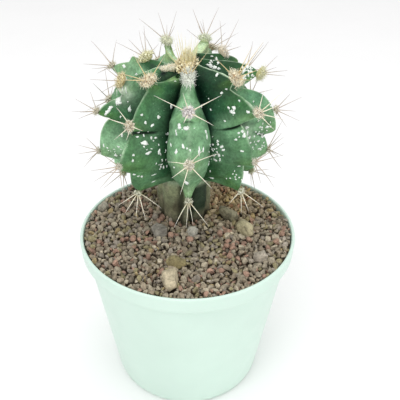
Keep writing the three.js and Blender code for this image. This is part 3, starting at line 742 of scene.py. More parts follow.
def neck_rings():
    """Rings from under the collar to the buried foot, lobed as the photograph shows at the front."""
    turns = []
    for number in range(len(RIBS)):
        start = valley_turn(number - 1)
        span = (valley_turn(number) - start) % 360
        turns.append(start + span * np.arange(2 * FLANK) / (2 * FLANK))
    turns = np.concatenate(turns)
    drop = np.linspace(0, 1, NECK_ROWS + 1)[1:]
    heights = mix(STEM[0, 1], STEM[-1, 1], drop)
    radii = np.interp(heights, STEM[::-1, 1], STEM[::-1, 0])
    rings = in_space(turns[None], radii[:, None], heights[:, None])
    rings[..., 0] += STEM_LEAN * smoothstep(0, 0.15, drop)[:, None]
    groove = sum(depth * bell(turn_between(turns, turn), width) for turn, depth, width in NECK_GROOVES)
    fade = (smoothstep(0, 0.1, drop) * (1 - smoothstep(0.6, 0.75, drop)))[:, None]
    waist = NECK_WAIST * (smoothstep(97, 86, heights) * smoothstep(70, 80, heights))[:, None]
    front = bell(turn_between(turns, 0), 8) * smoothstep(96, 89, heights)[:, None]
    inward = groove * fade * (1 - front) + waist * (1 - 2.4 * front)
    folds = 0.3 * ripple(rings * [1, 1, 0.35], 3.2, 21)
    wrinkles = 0.22 * ripple(rings * [0.4, 0.4, 1.6], 2.4, 22)
    out = unit(rings - rings.mean(1, keepdims=True))
    return rings + out * ((folds + wrinkles) * fade - inward)[..., None]


# How far each rib is lightened, by its pale bloom together with painted light, or below zero how far it is
# darkened by painted shade, in the crown and then from its first chin to its fourth, on its left flank and on
# its right one.
BLOOM_LIGHT_AND_SHADE = {
    0: ((0.6, 0.8, 0.65, 0.5, 0.45), (0.5, 0.75, 0.6, 0.52, 0.5)),
    1: ((-0.75, -0.65, 0.4, 0.26, 0.3), (0.1, 0.3, 0.5, 0.35, 0.2)),
    2: ((-0.5, 0.3, 0.6, 0.55, 0.4), (0.0, 0.4, 0.6, 0.5, 0.4)),
    3: ((-0.5, -0.2, 0.2, 0.2, 0.1), (-0.4, -0.3, 0.2, 0.2, 0.1)),
    4: ((0.9, 0.9, 0.2, 0.2, 0.1), (0.9, 0.9, 0.2, 0.2, 0.1)),
    5: ((0.9, 0.9, 0.2, 0.2, 0.1), (0.9, 0.9, 0.2, 0.2, 0.1)),
    6: ((-0.3, 0.4, 0.5, 0.3, 0.2), (-0.35, 0.85, 0.7, 0.3, 0.2)),
    7: ((-0.2, 0.1, 0.15, 0.8, 0.6), (0.2, 0.3, -0.05, 1.0, 0.7)),
    8: ((0.0, 0.15, 0.25, 0.2, 0.2), (-0.1, 0.05, 0.14, 0.22, 0.25)),
}
BLOOM_LEVELS = (0.55, 1, 2, 3, 4)

# Where the skin is paler or darker than its rib, partly its own paler patches and partly painted light and
# painted shade: the place (x, y) in the photograph's pixels, the patch's radius in millimetres, its colour
# and its strength.
PATCHES_OF_TONE_LIGHT_AND_SHADE = [
    (121, 91, 4.2, (222, 238, 216), 0.9), (246, 133, 3.6, (190, 218, 186), 0.6),
    (163, 75, 2.6, (16, 42, 32), 0.95), (173, 80, 3.0, (146, 182, 120), 0.6),
    (121, 66, 4.6, (140, 172, 122), 0.5), (187, 193, 4.0, (166, 206, 154), 0.9),
    (230, 168, 7.0, (44, 88, 56), 0.35), (184, 172, 6.0, (176, 208, 164), 0.6),
    (226, 180, 8.0, (66, 114, 54), 0.5), (212, 120, 6.0, (24, 66, 52), 0.45),
    (140, 166, 7.0, (70, 118, 56), 0.5), (256, 100, 6.0, (84, 146, 112), 0.4),
]
# The skin's tones: valley, shade and crease are painted shade, edge is a painted highlight, and bloom is the
# pale bloom with painted light.
SKIN_TONES = {
    "green": (48, 96, 60), "valley": (14, 50, 33), "upper": (68, 124, 68), "bloom": (148, 194, 150),
    "shade": (12, 44, 30), "fresh": (168, 190, 128), "palest": (206, 220, 176), "chin": (110, 150, 66),
    "crease": (14, 34, 22), "edge": (214, 236, 204), "collar": (182, 206, 170),
}
# The neck's tones: groove and foot are painted shade.
NECK_TONES = {
    "cork": (116, 116, 92), "upper": (150, 160, 122), "crack": (84, 80, 62), "scale": (156, 152, 126),
    "green": (30, 54, 38), "margin": (120, 128, 104), "groove": (30, 32, 24), "foot": (58, 56, 44),
}


def bloom_light_and_shade_of(skin):
    """How far each point is lightened by the pale bloom and painted light, or below zero how far it is
    darkened by painted shade.
    """
    bloom = np.zeros(skin.share.shape)
    for number, sides in BLOOM_LIGHT_AND_SHADE.items():
        for side, amounts in zip((-1, 1), sides):
            here = (skin.rib == number) & (skin.side == side)
            bloom[here] = np.interp(skin.level[here], BLOOM_LEVELS, amounts)
    return bloom


def skin_colours(skin, tree):
    """The paint of the green skin, with painted shade and a painted highlight."""
    points, share, segment, step = skin.points, skin.share, skin.segment, skin.step
    rib, level = skin.rib, skin.level
    # valley: painted shade deep in the valleys between the ribs, weaker on the lower teeth.
    valley = 1 - smoothstep(0.08, 0.7, share + 0.12 * ripple(points, 6, 31))
    bloom = bloom_light_and_shade_of(skin)
    start = np.where((rib == 0) & (level < 2), 0.35, 0.05)
    cover = smoothstep(start, start + 0.45, share + 0.15 * ripple(points, 7, 33))
    fresh = np.isin(rib, FINS) * smoothstep(1.5, 0.9, level) * smoothstep(0.5, 0.75, share)
    base = layered(
        linear(SKIN_TONES["green"]), SKIN_TONES,
        valley=valley * (1 - 0.85 * smoothstep(2.0, 3.2, level)),
        upper=0.6 * smoothstep(0.55, 1.0, share + 0.12 * ripple(points, 5, 32)),
        # bloom: the pale bloom together with painted light; shade: painted shade where the bloom's table is
        # below zero.
        bloom=np.clip(bloom * cover * (1 + 0.25 * ripple(points, 3, 36)), 0, 1),
        shade=np.clip(-bloom, 0, 1),
        fresh=0.8 * fresh * smoothstep(1.06, 0.93, share),
        palest=0.5 * fresh * (rib == FINS[0]),
    )
    # The skin's own paler patches, and patches of painted light and painted shade.
    for x, y, radius, colour, strength in PATCHES_OF_TONE_LIGHT_AND_SHADE:
        near = bell(np.linalg.norm(points - seen_at(tree, x, y)[0], axis=-1), radius)
        base = painted(base, colour, strength * near * (1 + 0.35 * ripple(points, 2.5, 37)))
    tooth = (segment % 2 == 0) & (segment < 7)
    chin = np.where(tooth, smoothstep(0.75, 1, step), 1 - step)
    chin = np.where(segment == 7, 0.3, chin) * smoothstep(0.6, 1, share)
    # edge: a painted highlight along the crests, weaker on the front rib, the one left of it and the lower
    # part of the one right of it.
    highlight_share = np.select([rib == 0, rib == 8, (rib == 1) & (level > 2.2)], [0.3, 0.35, 0.5], 1.0)
    edge = smoothstep(0.98, 1.0, share) * (0.65 + 0.4 * ripple(points, 4, 34)) * highlight_share
    # crease: painted shade along the creases that run in from the notches.
    crease = 0.9 * smoothstep(0.15, 0.9, skin.slit)
    return layered(base, SKIN_TONES, chin=0.35 * chin, crease=crease, edge=np.clip(edge, 0, 0.9))


def neck_colours(points):
    """The paint of the neck: grey-green cork, still dark green on the lobe to the right of the front."""
    turn = np.degrees(np.arctan2(points[..., 0] - STEM_LEAN, STEM_BACK - points[..., 1]))
    height = points[..., 2]
    high = smoothstep(88, 104, height)
    green = smoothstep(9, 17, turn + 4 * ripple(points, 5, 43)) * smoothstep(74, 62, turn)
    base = layered(
        linear(NECK_TONES["cork"]), NECK_TONES,
        upper=0.85 * high,
        crack=0.8 * smoothstep(0.1, 1, ripple(points * [1, 1, 0.3], 3, 41)),
        scale=0.6 * smoothstep(0.3, 1.1, ripple(points * [1, 1, 0.4], 2.2, 42)),
        green=0.92 * green * smoothstep(85, 92, height),
        margin=0.7 * smoothstep(52, 60, turn) * smoothstep(76, 66, turn) * high,
    )
    # groove: painted shade in the two grooves beside the front lobe.
    for groove, _, width in NECK_GROOVES[:2]:
        base = layered(base, NECK_TONES, groove=0.75 * bell(turn - groove, width))
    # foot: painted shade low on the neck, where it goes into the grit.
    return layered(base, NECK_TONES, foot=0.75 * smoothstep(89, 84, height))


def make_skin(skin, tree):
    """The green skin and the neck as one mesh, closed in the crown and at the buried foot."""
    neck = neck_rings()
    grid = np.concatenate([skin.points, neck])
    rows = len(grid)
    colours = np.concatenate([skin_colours(skin, tree), neck_colours(neck)])
    colours = layered(colours, SKIN_TONES, collar=0.75 * bell(np.arange(rows) - skin.rows, 0.9)[:, None])
    points = np.concatenate([grid.reshape(-1, 3), [in_space(0, 0, CROWN_MIDDLE), neck[-1].mean(0)]])
    faces = [face[::-1] for face in grid_faces(rows, skin.columns)]
    top = rows * skin.columns
    final = top - skin.columns
    for column in range(skin.columns):
        beside = (column + 1) % skin.columns
        faces.append((top, column, beside))
        faces.append((top + 1, final + beside, final + column))
    shades = np.concatenate([colours.reshape(-1, 3), colours[0, :1], colours[-1, :1]])
    soup = Soup()
    soup.add(points, faces, shades)
    soup.piece("cactus_skin", [skin_material()], "cactus_skin", ["cactus_body"])


# ---------- wool and spines ----------

WOOL, SPINES = 0, 1  # a bunch's two materials, by number
HAIR_STEPS = 4
HAIR_SIDES = 3
HAIR_RADIUS = 0.09
SPINE_STEPS = 7
SPINE_SIDES = 7
SPINE_ROOT = 0.33
SPINE_TIP = 0.06

# A spine's colours at the root, along it and at the tip: young in the crown, straw at its edge, grey at
# the outer ribs and cream at the bunches that face the front.
YOUNG = ((176, 124, 76), (238, 228, 180), (244, 240, 214))
STRAW = ((196, 158, 112), (226, 206, 156), (206, 190, 160))
GREY = ((196, 172, 140), (190, 178, 164), (168, 158, 150))
CREAM = ((214, 196, 150), (240, 234, 212), (230, 224, 212))


def areole_frame(number, level):
    """The areole's place, and its directions down along the rib, across it and out of the skin."""
    crest = CREST_OF[number]
    bunch = BUNCHES[level - 1]
    start, chin = crest[2 * level - 2], crest[2 * level - 1]
    rise = HIGH_AREOLES.get(f"{number + 1}_{level}", bunch["rise"])
    run = np.linalg.norm(chin - start)
    bend = tooth_bends(number)[level - 1]
    here = tooth_crest(start, chin, bend, 1 - rise / run)
    above = tooth_crest(start, chin, bend, 1 - (rise + 2) / run)
    turn = TURNS[number]
    at = in_space(turn, *here)
    down = unit(at - in_space(turn, *above))
    across = outwards(turn + 90)
    out = -np.cross(across, down)
    nod = np.radians(bunch["nod"])
    return at, down * np.cos(nod) - out * np.sin(nod), across, out * np.cos(nod) + down * np.sin(nod)


def upright(turn, tilt):
    """The ways that lean out at these turns, by a tilt from straight up."""
    tilt = np.radians(tilt)[:, None]
    return outwards(turn) * np.sin(tilt) + np.cos(tilt) * [0, 0, 1]


def bunch_spines(number, level, axes):
    """The ways and the lengths of a bunch's spines. axes are across, up the rib and out."""
    key = f"{number + 1}_{level}"
    if key in OUTER_BUNCHES:
        heading, climb, lengths = np.array(OUTER_BUNCHES[key], float).T
        return upright(heading, 90 - climb), lengths
    spines = FRONT_BUNCHES.get(key)
    if spines is None:
        bunch = BUNCHES[level - 1]
        spines = []
        for index in range(bunch["spines"]):
            clock = (index + 0.25 + 0.5 * draw(number, level, index)) * 360 / bunch["spines"]
            lean = bunch["tilt"] * (0.8 + 0.4 * draw(number, level, index + 20))
            spines.append((clock, lean, bunch["length"] * (0.75 + 0.4 * draw(number, level, index + 40))))
    clock, lean, lengths = np.array(spines, float).T
    clock, lean = np.radians(clock), np.radians(lean)
    local = np.stack([np.sin(lean) * np.sin(clock), np.sin(lean) * np.cos(clock), np.cos(lean)], -1)
    return local @ axes, lengths


def spine_shapes(soup, roots, ways, lengths, rng, tints, thickness):
    """Slender spines that taper and bow a little, with their tints at the root, along and at the tip."""
    along = np.linspace(0, 1, SPINE_STEPS)
    bow = unit(np.cross(ways, rng.normal(size=ways.shape))) * (0.06 * rng.normal(size=(len(ways), 1)))
    reach = along[None, :, None] * lengths[:, None, None]
    paths = roots[:, None] + ways[:, None] * reach + bow[:, None] * reach * along[None, :, None]
    radii = mix(SPINE_ROOT, SPINE_TIP, along**1.2)[None] * thickness * rng.uniform(0.8, 1.1, (len(ways), 1))
    points, faces = tubes(paths, radii, SPINE_SIDES)
    shade = painted(linear(tints[1]), tints[0], 1 - smoothstep(0, 0.3, along))
    shade = painted(shade, tints[2], smoothstep(0.55, 1, along))
    soup.add(points, faces, np.tile(np.repeat(shade, SPINE_SIDES, 0), (len(ways), 1)), SPINES)


def hair_shapes(soup, roots, ways, lengths, curl, colours, rng):
    """Fine woolly hairs that curl as they go."""
    along = np.linspace(0, 1, HAIR_STEPS)
    count = len(roots)
    bend = unit(rng.normal(size=(count, 3))) * curl
    twist = unit(rng.normal(size=(count, 3))) * curl * 0.6
    reach = along[None, :, None] * lengths[:, None, None]
    curls = bend[:, None] * along[:, None] ** 2 + twist[:, None] * np.sin(np.pi * along)[:, None]
    paths = roots[:, None] + ways[:, None] * reach + curls * lengths[:, None, None]
    radii = HAIR_RADIUS * (1 - 0.65 * along)[None] * rng.uniform(0.7, 1.3, (count, 1))
    points, faces = tubes(paths, radii, HAIR_SIDES)
    soup.add(points, faces, np.repeat(colours, HAIR_STEPS * HAIR_SIDES, 0), WOOL)


def wool_tones(shades, rng, count):
    """Colours for hairs between the pale shade and the deep one, most of them pale."""
    return painted(linear(shades[0]), shades[1], rng.uniform(size=count) ** 2)


def wool_mound(soup, seat, axes, half, rng, shades, tufts, hairs, length):
    """A mound of wool: small tufts crowded on a darker felt, with hairs. axes: across, up, out."""
    ball, faces = icosphere(3)
    lumps = 1 + 0.1 * ripple(ball * 6 + seat, 4, 51)
    felt = seat + (ball * lumps[:, None] * half * 0.85) @ axes
    soup.add(felt, faces, linear(shades[2]))
    small_ball, small_faces = icosphere(2)
    size = 1.15 * np.sqrt(half[0] * half[1] / tufts)
    for index in range(tufts):
        height = 1 - 1.15 * (index + 0.5) / tufts
        angle = np.radians(GOLDEN_TURN * index + 30 * rng.normal())
        flat = np.sqrt(1 - height * height)
        way = np.array([flat * np.cos(angle), flat * np.sin(angle), height])
        lump = small_ball * (1 + 0.2 * ripple(small_ball * 3 + index, 2, 52))[:, None]
        lump = lump * size * rng.uniform(0.5, 1.35, 3)
        tone = mix(linear(shades[0]), linear(shades[1]), rng.uniform() ** 1.3) * rng.uniform(0.85, 1.1)
        soup.add(seat + (way * half * rng.uniform(0.82, 1.04) + lump) @ axes, small_faces, tone)
    ways = rng.normal(size=(hairs, 3))
    ways[:, 2] = np.abs(ways[:, 2]) * 0.9
    ways = unit(ways)
    roots = seat + (ways * half * 0.9) @ axes
    leave = unit((0.6 * ways + rng.normal(size=ways.shape) * 0.7) @ axes)
    tones = wool_tones(shades, rng, hairs) * rng.uniform(0.85, 1.1, (hairs, 1))
    hair_shapes(soup, roots, leave, length * rng.uniform(0.5, 1.3, hairs), 0.6, tones, rng)


def hanging_hairs(soup, seat, axes, half, rng, shades):
    """White hairs that hang from a mound down over the skin of the rib below it."""
    count = HANGING_HAIRS
    across = rng.uniform(-0.9, 0.9, count)
    local = np.stack([across * half[0], np.full(count, -0.75) * half[1], np.full(count, 0.35) * half[2]], -1)
    ways = np.stack([0.25 * rng.normal(size=count), -np.ones(count), rng.uniform(0.0, 0.25, count)], -1)
    tones = wool_tones(shades, rng, count)
    lengths = rng.uniform(1.6, 4.8, count) * (1 - 0.5 * across**2)
    hair_shapes(soup, seat + local @ axes, unit(ways @ axes), lengths, 0.15, tones, rng)


# The wool's tufts pale and deep, and the felt between them, by bunch where the photograph tells them,
# else by level.
WOOL_SHADES = {
    1: ((246, 240, 212), (226, 208, 164), (176, 144, 104)),
    2: ((244, 240, 222), (222, 210, 180), (162, 146, 116)),
    3: ((244, 242, 228), (222, 214, 190), (160, 154, 126)),
    4: ((234, 234, 214), (208, 204, 178), (146, 148, 114)),
    "1_1": ((250, 254, 244), (240, 244, 230), (212, 214, 198)),
    "1_2": ((250, 248, 244), (228, 218, 216), (160, 150, 146)),
    "2_1": ((252, 248, 224), (234, 218, 182), (178, 146, 108)),
    "3_1": ((246, 246, 214), (234, 230, 182), (196, 190, 136)),
    "4_1": ((255, 250, 236), (250, 238, 216), (234, 218, 192)),
    "5_1": ((246, 250, 230), (238, 244, 214), (220, 230, 190)),
    "6_1": ((250, 252, 230), (242, 244, 216), (226, 230, 192)),
    "7_1": ((250, 248, 216), (240, 236, 190), (226, 220, 168)),
    "8_1": ((250, 242, 204), (240, 222, 164), (212, 188, 130)),
    "9_1": ((252, 248, 224), (238, 220, 182), (176, 140, 100)),
}
# A mound's number of tufts, its number of hairs and their length: by level, and in the crown.
BUNCH_WOOL = {1: (90, 460, 1.5), 2: (60, 260, 1.2), 3: (42, 170, 1.0), 4: (30, 110, 0.9)}
CROWN_WOOL = (190, 360, 1.8)
FLEECE_WOOL = (90, 90, 1.3)
HANGING_HAIRS = 70
PALE_RIBS = (0, 1, 8)
GREY_BUNCHES = ("2_3", "9_3")
THIN, THICK = 0.78, 0.88  # the spines' thickness, as a share of the usual one


def make_bunch(number, level, materials):
    """The wool and the spines of one areole."""
    at, down, across, out = areole_frame(number, level)
    bunch = BUNCHES[level - 1]
    key = f"{number + 1}_{level}"
    node = f"areole_rib{number + 1}_level{level}"
    rng = np.random.RandomState(100 * number + level)
    half = np.array(bunch["pad"]) * SMALL_PADS.get(key, 1)
    seat = at + out * PAD_LIFT * half[2]
    axes = np.stack([across, -down, out])
    shades = WOOL_SHADES.get(key, WOOL_SHADES[level])
    soup = Soup()
    wool_mound(soup, seat, axes, half, rng, shades, *BUNCH_WOOL[level])
    if key == "1_1":
        hanging_hairs(soup, seat, axes, half, rng, shades)
    ways, lengths = bunch_spines(number, level, axes)
    roots = seat + ways * ROOT_SINK * half[2]
    start = (ROOT_START - ROOT_SINK) * half[2]
    grey = number not in PALE_RIBS or key in GREY_BUNCHES
    tints = GREY if grey else STRAW if level == 1 else CREAM
    spine_shapes(soup, roots, ways, lengths + start, rng, tints, THICK if tints is CREAM else THIN)
    soup.piece(f"bunch_rib{number + 1}_level{level}", materials, "wool_and_spines", [node])


# Where the crown's wool spreads beyond its mound: the place (x, y) in the photograph's pixels, and the
# half-width and half-height of the fleece there.
CROWN_FLEECE = [(165, 69, 2.3, 1.4), (171, 68, 2.6, 1.8), (177, 70, 2.4, 1.6)]
CROWN_SHADES = ((250, 243, 210), (224, 206, 156), (176, 150, 104))
FLEECE_SHADES = ((255, 253, 236), (249, 241, 216), (236, 223, 194))
BRISTLES = {"number": 300, "spread": 0.48, "shortest": 5, "longest": 8.2, "thickness": 0.6}


def make_crown(tree, materials):
    """The crown's felt with its crowd of young spines, brown at the root and straw above."""
    rng = np.random.RandomState(7)
    radius, height, middle = CROWN_TUFT["radius"], CROWN_TUFT["height"], CROWN_TUFT["middle"]
    level_axes = np.eye(3)
    soup = Soup()
    half = np.array([radius, radius, height])
    wool_mound(soup, in_space(0, 0, middle), level_axes, half, rng, CROWN_SHADES, *CROWN_WOOL)
    for x, y, wide, high in CROWN_FLEECE:
        spot, _ = seen_at(tree, x, y)
        half = np.array([wide, wide * 0.7, high])
        wool_mound(soup, spot, level_axes, half, rng, FLEECE_SHADES, *FLEECE_WOOL)
    index = np.arange(CROWN_TUFT["spines"])
    ring = np.sqrt((index + 0.5) / len(index))
    turn = index * GOLDEN_TURN
    roots = in_space(turn, CROWN_TUFT["spread"] * ring * radius, middle + 0.4 * height)
    ways = upright(turn, CROWN_TUFT["lean"] * ring)
    lengths = CROWN_TUFT["length"] * (0.7 + 0.3 * np.array([draw(i, 7) for i in index]))
    spine_shapes(soup, roots, ways, lengths, rng, YOUNG, CROWN_TUFT["thickness"])
    count = BRISTLES["number"]
    ring = np.sqrt(rng.uniform(size=count))
    turn = rng.uniform(0, 360, count)
    roots = in_space(turn, BRISTLES["spread"] * ring * radius, middle + 0.5 * height * (1.4 - ring))
    ways = upright(turn, rng.uniform(-10, 12, count) * ring)
    lengths = rng.uniform(BRISTLES["shortest"], BRISTLES["longest"], count) * (1 - 0.35 * ring**2)
    spine_shapes(soup, roots, ways, lengths, rng, YOUNG, BRISTLES["thickness"])
    soup.piece("crown_felt", materials, "crown_wool", ["crown_tuft"])


# ---------- flecks ----------

# The flecks that the photograph shows, as (x, y, width, height) in its pixels, with a turn if they have one.
SEEN_FLECKS = [
    (118.6, 100, 6, 9), (108.5, 111, 4, 12, -40), (129.6, 109.8, 3, 7, -10), (120.9, 117.2, 2.5, 3),
    (112.1, 107, 2, 2), (158.4, 116.5, 4, 5), (171.4, 106.7, 4, 6), (145.4, 123.2, 3, 4, 20),
    (152.1, 124.9, 5, 3, 30), (139.1, 132.3, 4, 2, 20), (141.9, 115.1, 2, 2), (178.8, 125.3, 4.5, 7),
    (185.8, 128.1, 8, 4), (176.3, 134, 3, 4), (167.9, 133.7, 2, 3), (137.4, 136.8, 3, 2),
    (143.7, 135.4, 2, 3), (156, 137.9, 4, 3), (145.1, 143.2, 8, 4, -22), (147.9, 153, 7, 3, 25),
    (133.5, 155.1, 2.5, 2.5), (132.8, 160.7, 2, 3), (122.6, 135.1, 3, 5.5, -20), (118.8, 147, 2.5, 2.5),
    (104, 145.6, 2.5, 4), (107.2, 147.7, 4, 2, -30), (116, 155.4, 5, 4), (120.9, 155.4, 2, 2),
    (158.8, 144.9, 1.5, 2), (159.1, 151.9, 3, 7, -8), (162.3, 160.4, 2, 3), (165.8, 159.6, 1.5, 3),
    (160.9, 166.7, 2, 3, 10), (163.7, 167.4, 2, 3), (166.8, 166, 2, 3), (166.8, 142.1, 2, 2),
    (170.7, 144.2, 3, 5, 12), (165.8, 150.5, 1.5, 3), (176, 151.9, 3.5, 6, -25), (183.3, 146.3, 4, 4.5),
    (187, 148, 2, 3.5), (190.4, 149.8, 3, 3), (199.2, 152, 2.4, 9, 12), (173.9, 167, 2.5, 3.5, -20),
    (134.9, 174.7, 4, 2), (138.4, 176.1, 2, 1.5), (141.9, 176.5, 2, 2), (153.5, 174.7, 5, 1.5),
    (153.5, 181.4, 4, 1.5), (186.4, 182.5, 4.5, 8), (234, 107.5, 5, 4), (232.5, 112, 7, 3.5),
    (247.7, 111.6, 5, 3, -10), (210.9, 109.5, 3.5, 2.5), (224.9, 121.1, 2.5, 2), (201.8, 106.3, 3, 4),
    (205.6, 131.6, 4, 3.5), (207, 136.5, 1.6, 6), (217.9, 142.1, 3, 2.5, 30), (222.1, 146.7, 4, 4),
    (223.5, 150.5, 4, 3, 20), (212.6, 144.6, 2, 2), (213, 150.5, 2, 6, 25), (219, 155.8, 3, 5, 30),
    (215.1, 160, 4, 3.5, 20), (208.8, 163, 2, 9, 8), (210, 171, 2, 4), (213.7, 155.4, 2, 3, 20),
    (203.5, 149.1, 2.5, 5.5), (235.8, 139.6, 2.5, 2.5), (239.3, 136.8, 2, 2), (238.2, 132.6, 4, 3),
    (242.5, 130.9, 4, 4), (247.5, 133, 2, 7, -8), (250.2, 142.8, 3.5, 3.5), (241.4, 150.5, 4.5, 3),
    (238.6, 166.3, 4, 2), (226.3, 178.6, 2, 4), (230.2, 178.2, 2, 2), (235.4, 179.3, 3, 2.5),
    (211.6, 177.9, 4, 1.5), (257.9, 133.7, 4, 3), (262.5, 135.8, 4, 6, -20), (259.3, 148.4, 5, 2, 15),
    (267.4, 126.7, 2.5, 2), (270.5, 126.7, 2.5, 2), (216, 59.5, 4, 5), (218.3, 62.8, 3, 3),
    (212, 56.3, 3, 2), (209, 65.9, 7, 4, -10), (214.8, 67, 4, 4), (218.5, 68.6, 5, 2.5, -30),
    (216.7, 75, 4.5, 4.5), (225.9, 88.8, 3, 3), (221, 92.6, 4, 3, 20), (208.7, 98.8, 2, 2),
    (239.3, 100.3, 4, 2.5, -40), (253.5, 101.4, 1.5, 1.5), (247.3, 65.1, 2.5, 8), (244.3, 75.8, 4, 5),
    (249.6, 72, 3, 3), (245.8, 78.9, 3, 3), (271, 105.8, 2, 2), (136.6, 56.7, 2, 2), (124, 65.9, 4, 4),
    (136.6, 74.3, 3, 2), (175.3, 81.2, 1.5, 1.5), (244, 71, 2.5, 7, -15), (250.5, 68, 2, 6, 10),
    (252, 75, 3, 3), (242.5, 78.5, 3, 2), (248.5, 75, 2.5, 4), (246, 128, 5, 4), (244, 135, 4, 5),
    (249, 138, 3, 5), (254, 136, 3, 3), (258, 141, 3, 2), (114, 91, 1, 8), (117, 90, 1, 9),
    (120, 91, 1.2, 9), (123, 90, 1, 9), (126, 91, 1.2, 8),
]

# Where small flecks crowd together, as [x, y, spread across, spread down, number] in its pixels.
FLECK_CROWDS = [
    [262, 130, 6, 7, 16], [258, 146, 6, 6, 12], [216, 152, 6, 9, 22], [247, 71, 4.5, 7, 26],
    [213, 62, 6, 4, 8], [119, 101, 4, 6, 8], [163, 163, 4, 6, 8], [184, 128, 7, 3, 8], [232, 110, 4, 3, 5],
    [112, 150, 9, 6, 8], [150, 140, 9, 10, 8], [236, 176, 8, 4, 7],
]
FLECK_DEPTH = 0.24  # how far a fleck's root is sunk in the skin
FLECK_RISE = 0.3  # how far its peak stands out of the skin
FLECK_POINTS = 12
FLECK_RINGS = ((0.0, 1.0), (0.5, 0.9), (0.85, 0.75), (1.0, -0.25))  # share of the way out and of the depth
FLECK_COLOUR = (250, 254, 249)
FLECK_AREA = 7  # how many square pixels one fleck covers before it is broken up
BROKEN_SHARE = 0.62  # how large the pieces of a broken one are, as a share of it
HIDDEN_FLECKS = 260
CLEAR_OF_SEEN = 4  # how far the hidden flecks keep from what the photograph shows


def on_skin(tree, spot):
    """The place of the skin that is nearest to a spot, and the way into the skin there."""
    near, inwards, _, _ = tree.find_nearest(Vector(spot))
    return np.array(near), np.array(inwards)


def fleck(soup, tree, spot, across, width, height, rng):
    """A felted fleck that follows the skin: a ragged root sunk in it, closed by a low cone over it."""
    centre, inwards = on_skin(tree, spot)
    across = unit(across - inwards * (across @ inwards))
    up = np.cross(inwards, across)
    angles = around(FLECK_POINTS)
    ragged = 1 + rng.uniform(-0.38, 0.38, FLECK_POINTS)
    points = []
    for share, depth in FLECK_RINGS:
        for angle, rag in zip(angles, ragged):
            reach = share * (rag if share > 0.6 else 1)
            flat = across * (np.cos(angle) * width * reach) + up * (np.sin(angle) * height * reach)
            near, way = on_skin(tree, centre + flat)
            lumps = 0.75 + 0.5 * rng.uniform()
            points.append(near + way * FLECK_DEPTH * depth * (lumps if depth > 0 else 1))
            if share == 0:
                break
    points.append(centre - inwards * FLECK_RISE)
    peak, last = len(points) - 1, 1 + 2 * FLECK_POINTS
    faces = grid_faces(3, FLECK_POINTS, 1)
    for index in range(FLECK_POINTS):
        beside = (index + 1) % FLECK_POINTS
        faces += [(0, 1 + index, 1 + beside), (peak, last + beside, last + index)]
    soup.add(points, faces, linear(FLECK_COLOUR) * rng.uniform(0.88, 1.0))


def make_flecks(skin, tree, materials):
    """The white felted flecks: where the photograph shows them, and like them on the other sides."""
    rng = np.random.RandomState(23)
    soup = Soup()
    for x, y, width, height, *turn in SEEN_FLECKS:
        spot, depth = seen_at(tree, x, y)
        if spot is None:
            continue
        scale = 0.5 * depth / FOCAL_PIXELS
        angle = np.radians(turn[0] if turn else 0)
        across = np.cos(angle) * CAMERA_RIGHT + np.sin(angle) * CAMERA_UP
        parts = 1 + int(width * height / FLECK_AREA)
        share = 1.0 if parts == 1 else BROKEN_SHARE
        for _ in range(parts):
            away = np.zeros(2) if parts == 1 else 0.5 * scale * rng.uniform(-1, 1, 2) * [width, height]
            place = spot + away[0] * across + away[1] * np.cross(BACKWARD, across)
            size = scale * share * rng.uniform(0.8, 1.3, 2) * [width, height]
            fleck(soup, tree, place, across, *size, rng)
    for x, y, across_spread, down_spread, number in FLECK_CROWDS:
        for _ in range(number):
            aside, below = rng.normal(size=2) * 0.6
            spot, depth = seen_at(tree, x + aside * across_spread, y + below * down_spread)
            if spot is not None:
                width, height = rng.uniform(0.4, 1.25, 2) * depth / FOCAL_PIXELS
                fleck(soup, tree, spot, unit(rng.normal(size=3)), width, height, rng)
    placed = 0
    while placed < HIDDEN_FLECKS:
        row = rng.randint(20, skin.rows - 12)
        column = rng.randint(skin.columns)
        spot = skin.points[row, column]
        if rng.uniform() > 0.4 + 0.6 * (ripple(spot, 16, 61) > 0.2) or skin.share[row, column] < 0.25:
            continue
        placed += 1
        seen, _, _, _ = tree.ray_cast(Vector(CAMERA_AT), Vector(unit(spot - CAMERA_AT)))
        if seen is None or (Vector(spot) - seen).length < CLEAR_OF_SEEN:
            continue
        across = unit(rng.normal(size=3))
        width = 0.45 + 0.9 * rng.uniform() ** 2
        fleck(soup, tree, spot, across, width, width * rng.uniform(0.6, 2.0), rng)
    soup.piece("white_flecks", materials, "wool_and_spines")


# ---------- gravel, stones and pot ----------

GRAIN_SHADES = [  # a colour and how common it is
    ((170, 162, 142), 0.26), ((158, 147, 127), 0.24), ((162, 155, 142), 0.12), ((192, 184, 162), 0.1),
    ((160, 153, 118), 0.1), ((172, 142, 124), 0.12), ((176, 160, 120), 0.03), ((124, 116, 101), 0.03),
]
GRAIN_LAYERS = [(1.35, 1700, 1.0, 1.6), (0.35, 2300, 0.9, 2.25)]  # depth, number, least and largest radius
GRAIN_SPACING = 1.5  # the distance between two grains, as a share of their radius
STEM_HOLE = 13.0
BED_DROP = 2.6  # how far the dark bed lies under the grit's level
# The bed's dark colour is painted shade for the gaps between the grains.
BED_SHADE_COLOUR = (84, 72, 56)
RUSTY = (22.0, 26.0, 16.0)  # where the grit is the most orange, and how far around
GREYISH_TONE = np.array([1.02, 0.98, 0.96])
RUSTY_TONE = [1.42, 1.2, 0.88]
POT_COLOUR = (209, 231, 219)
POT_SIDES = 192
HOLE_SIDES = 48
DRILL_REACH = 4.0


def ground_height(x, y):
    """The mean height of the grit at a place."""
    from_stem = np.hypot(x - STEM_LEAN, y - STEM_BACK)
    return BED["level"] + BED["heap"] * bell(from_stem, BED["heap_reach"])


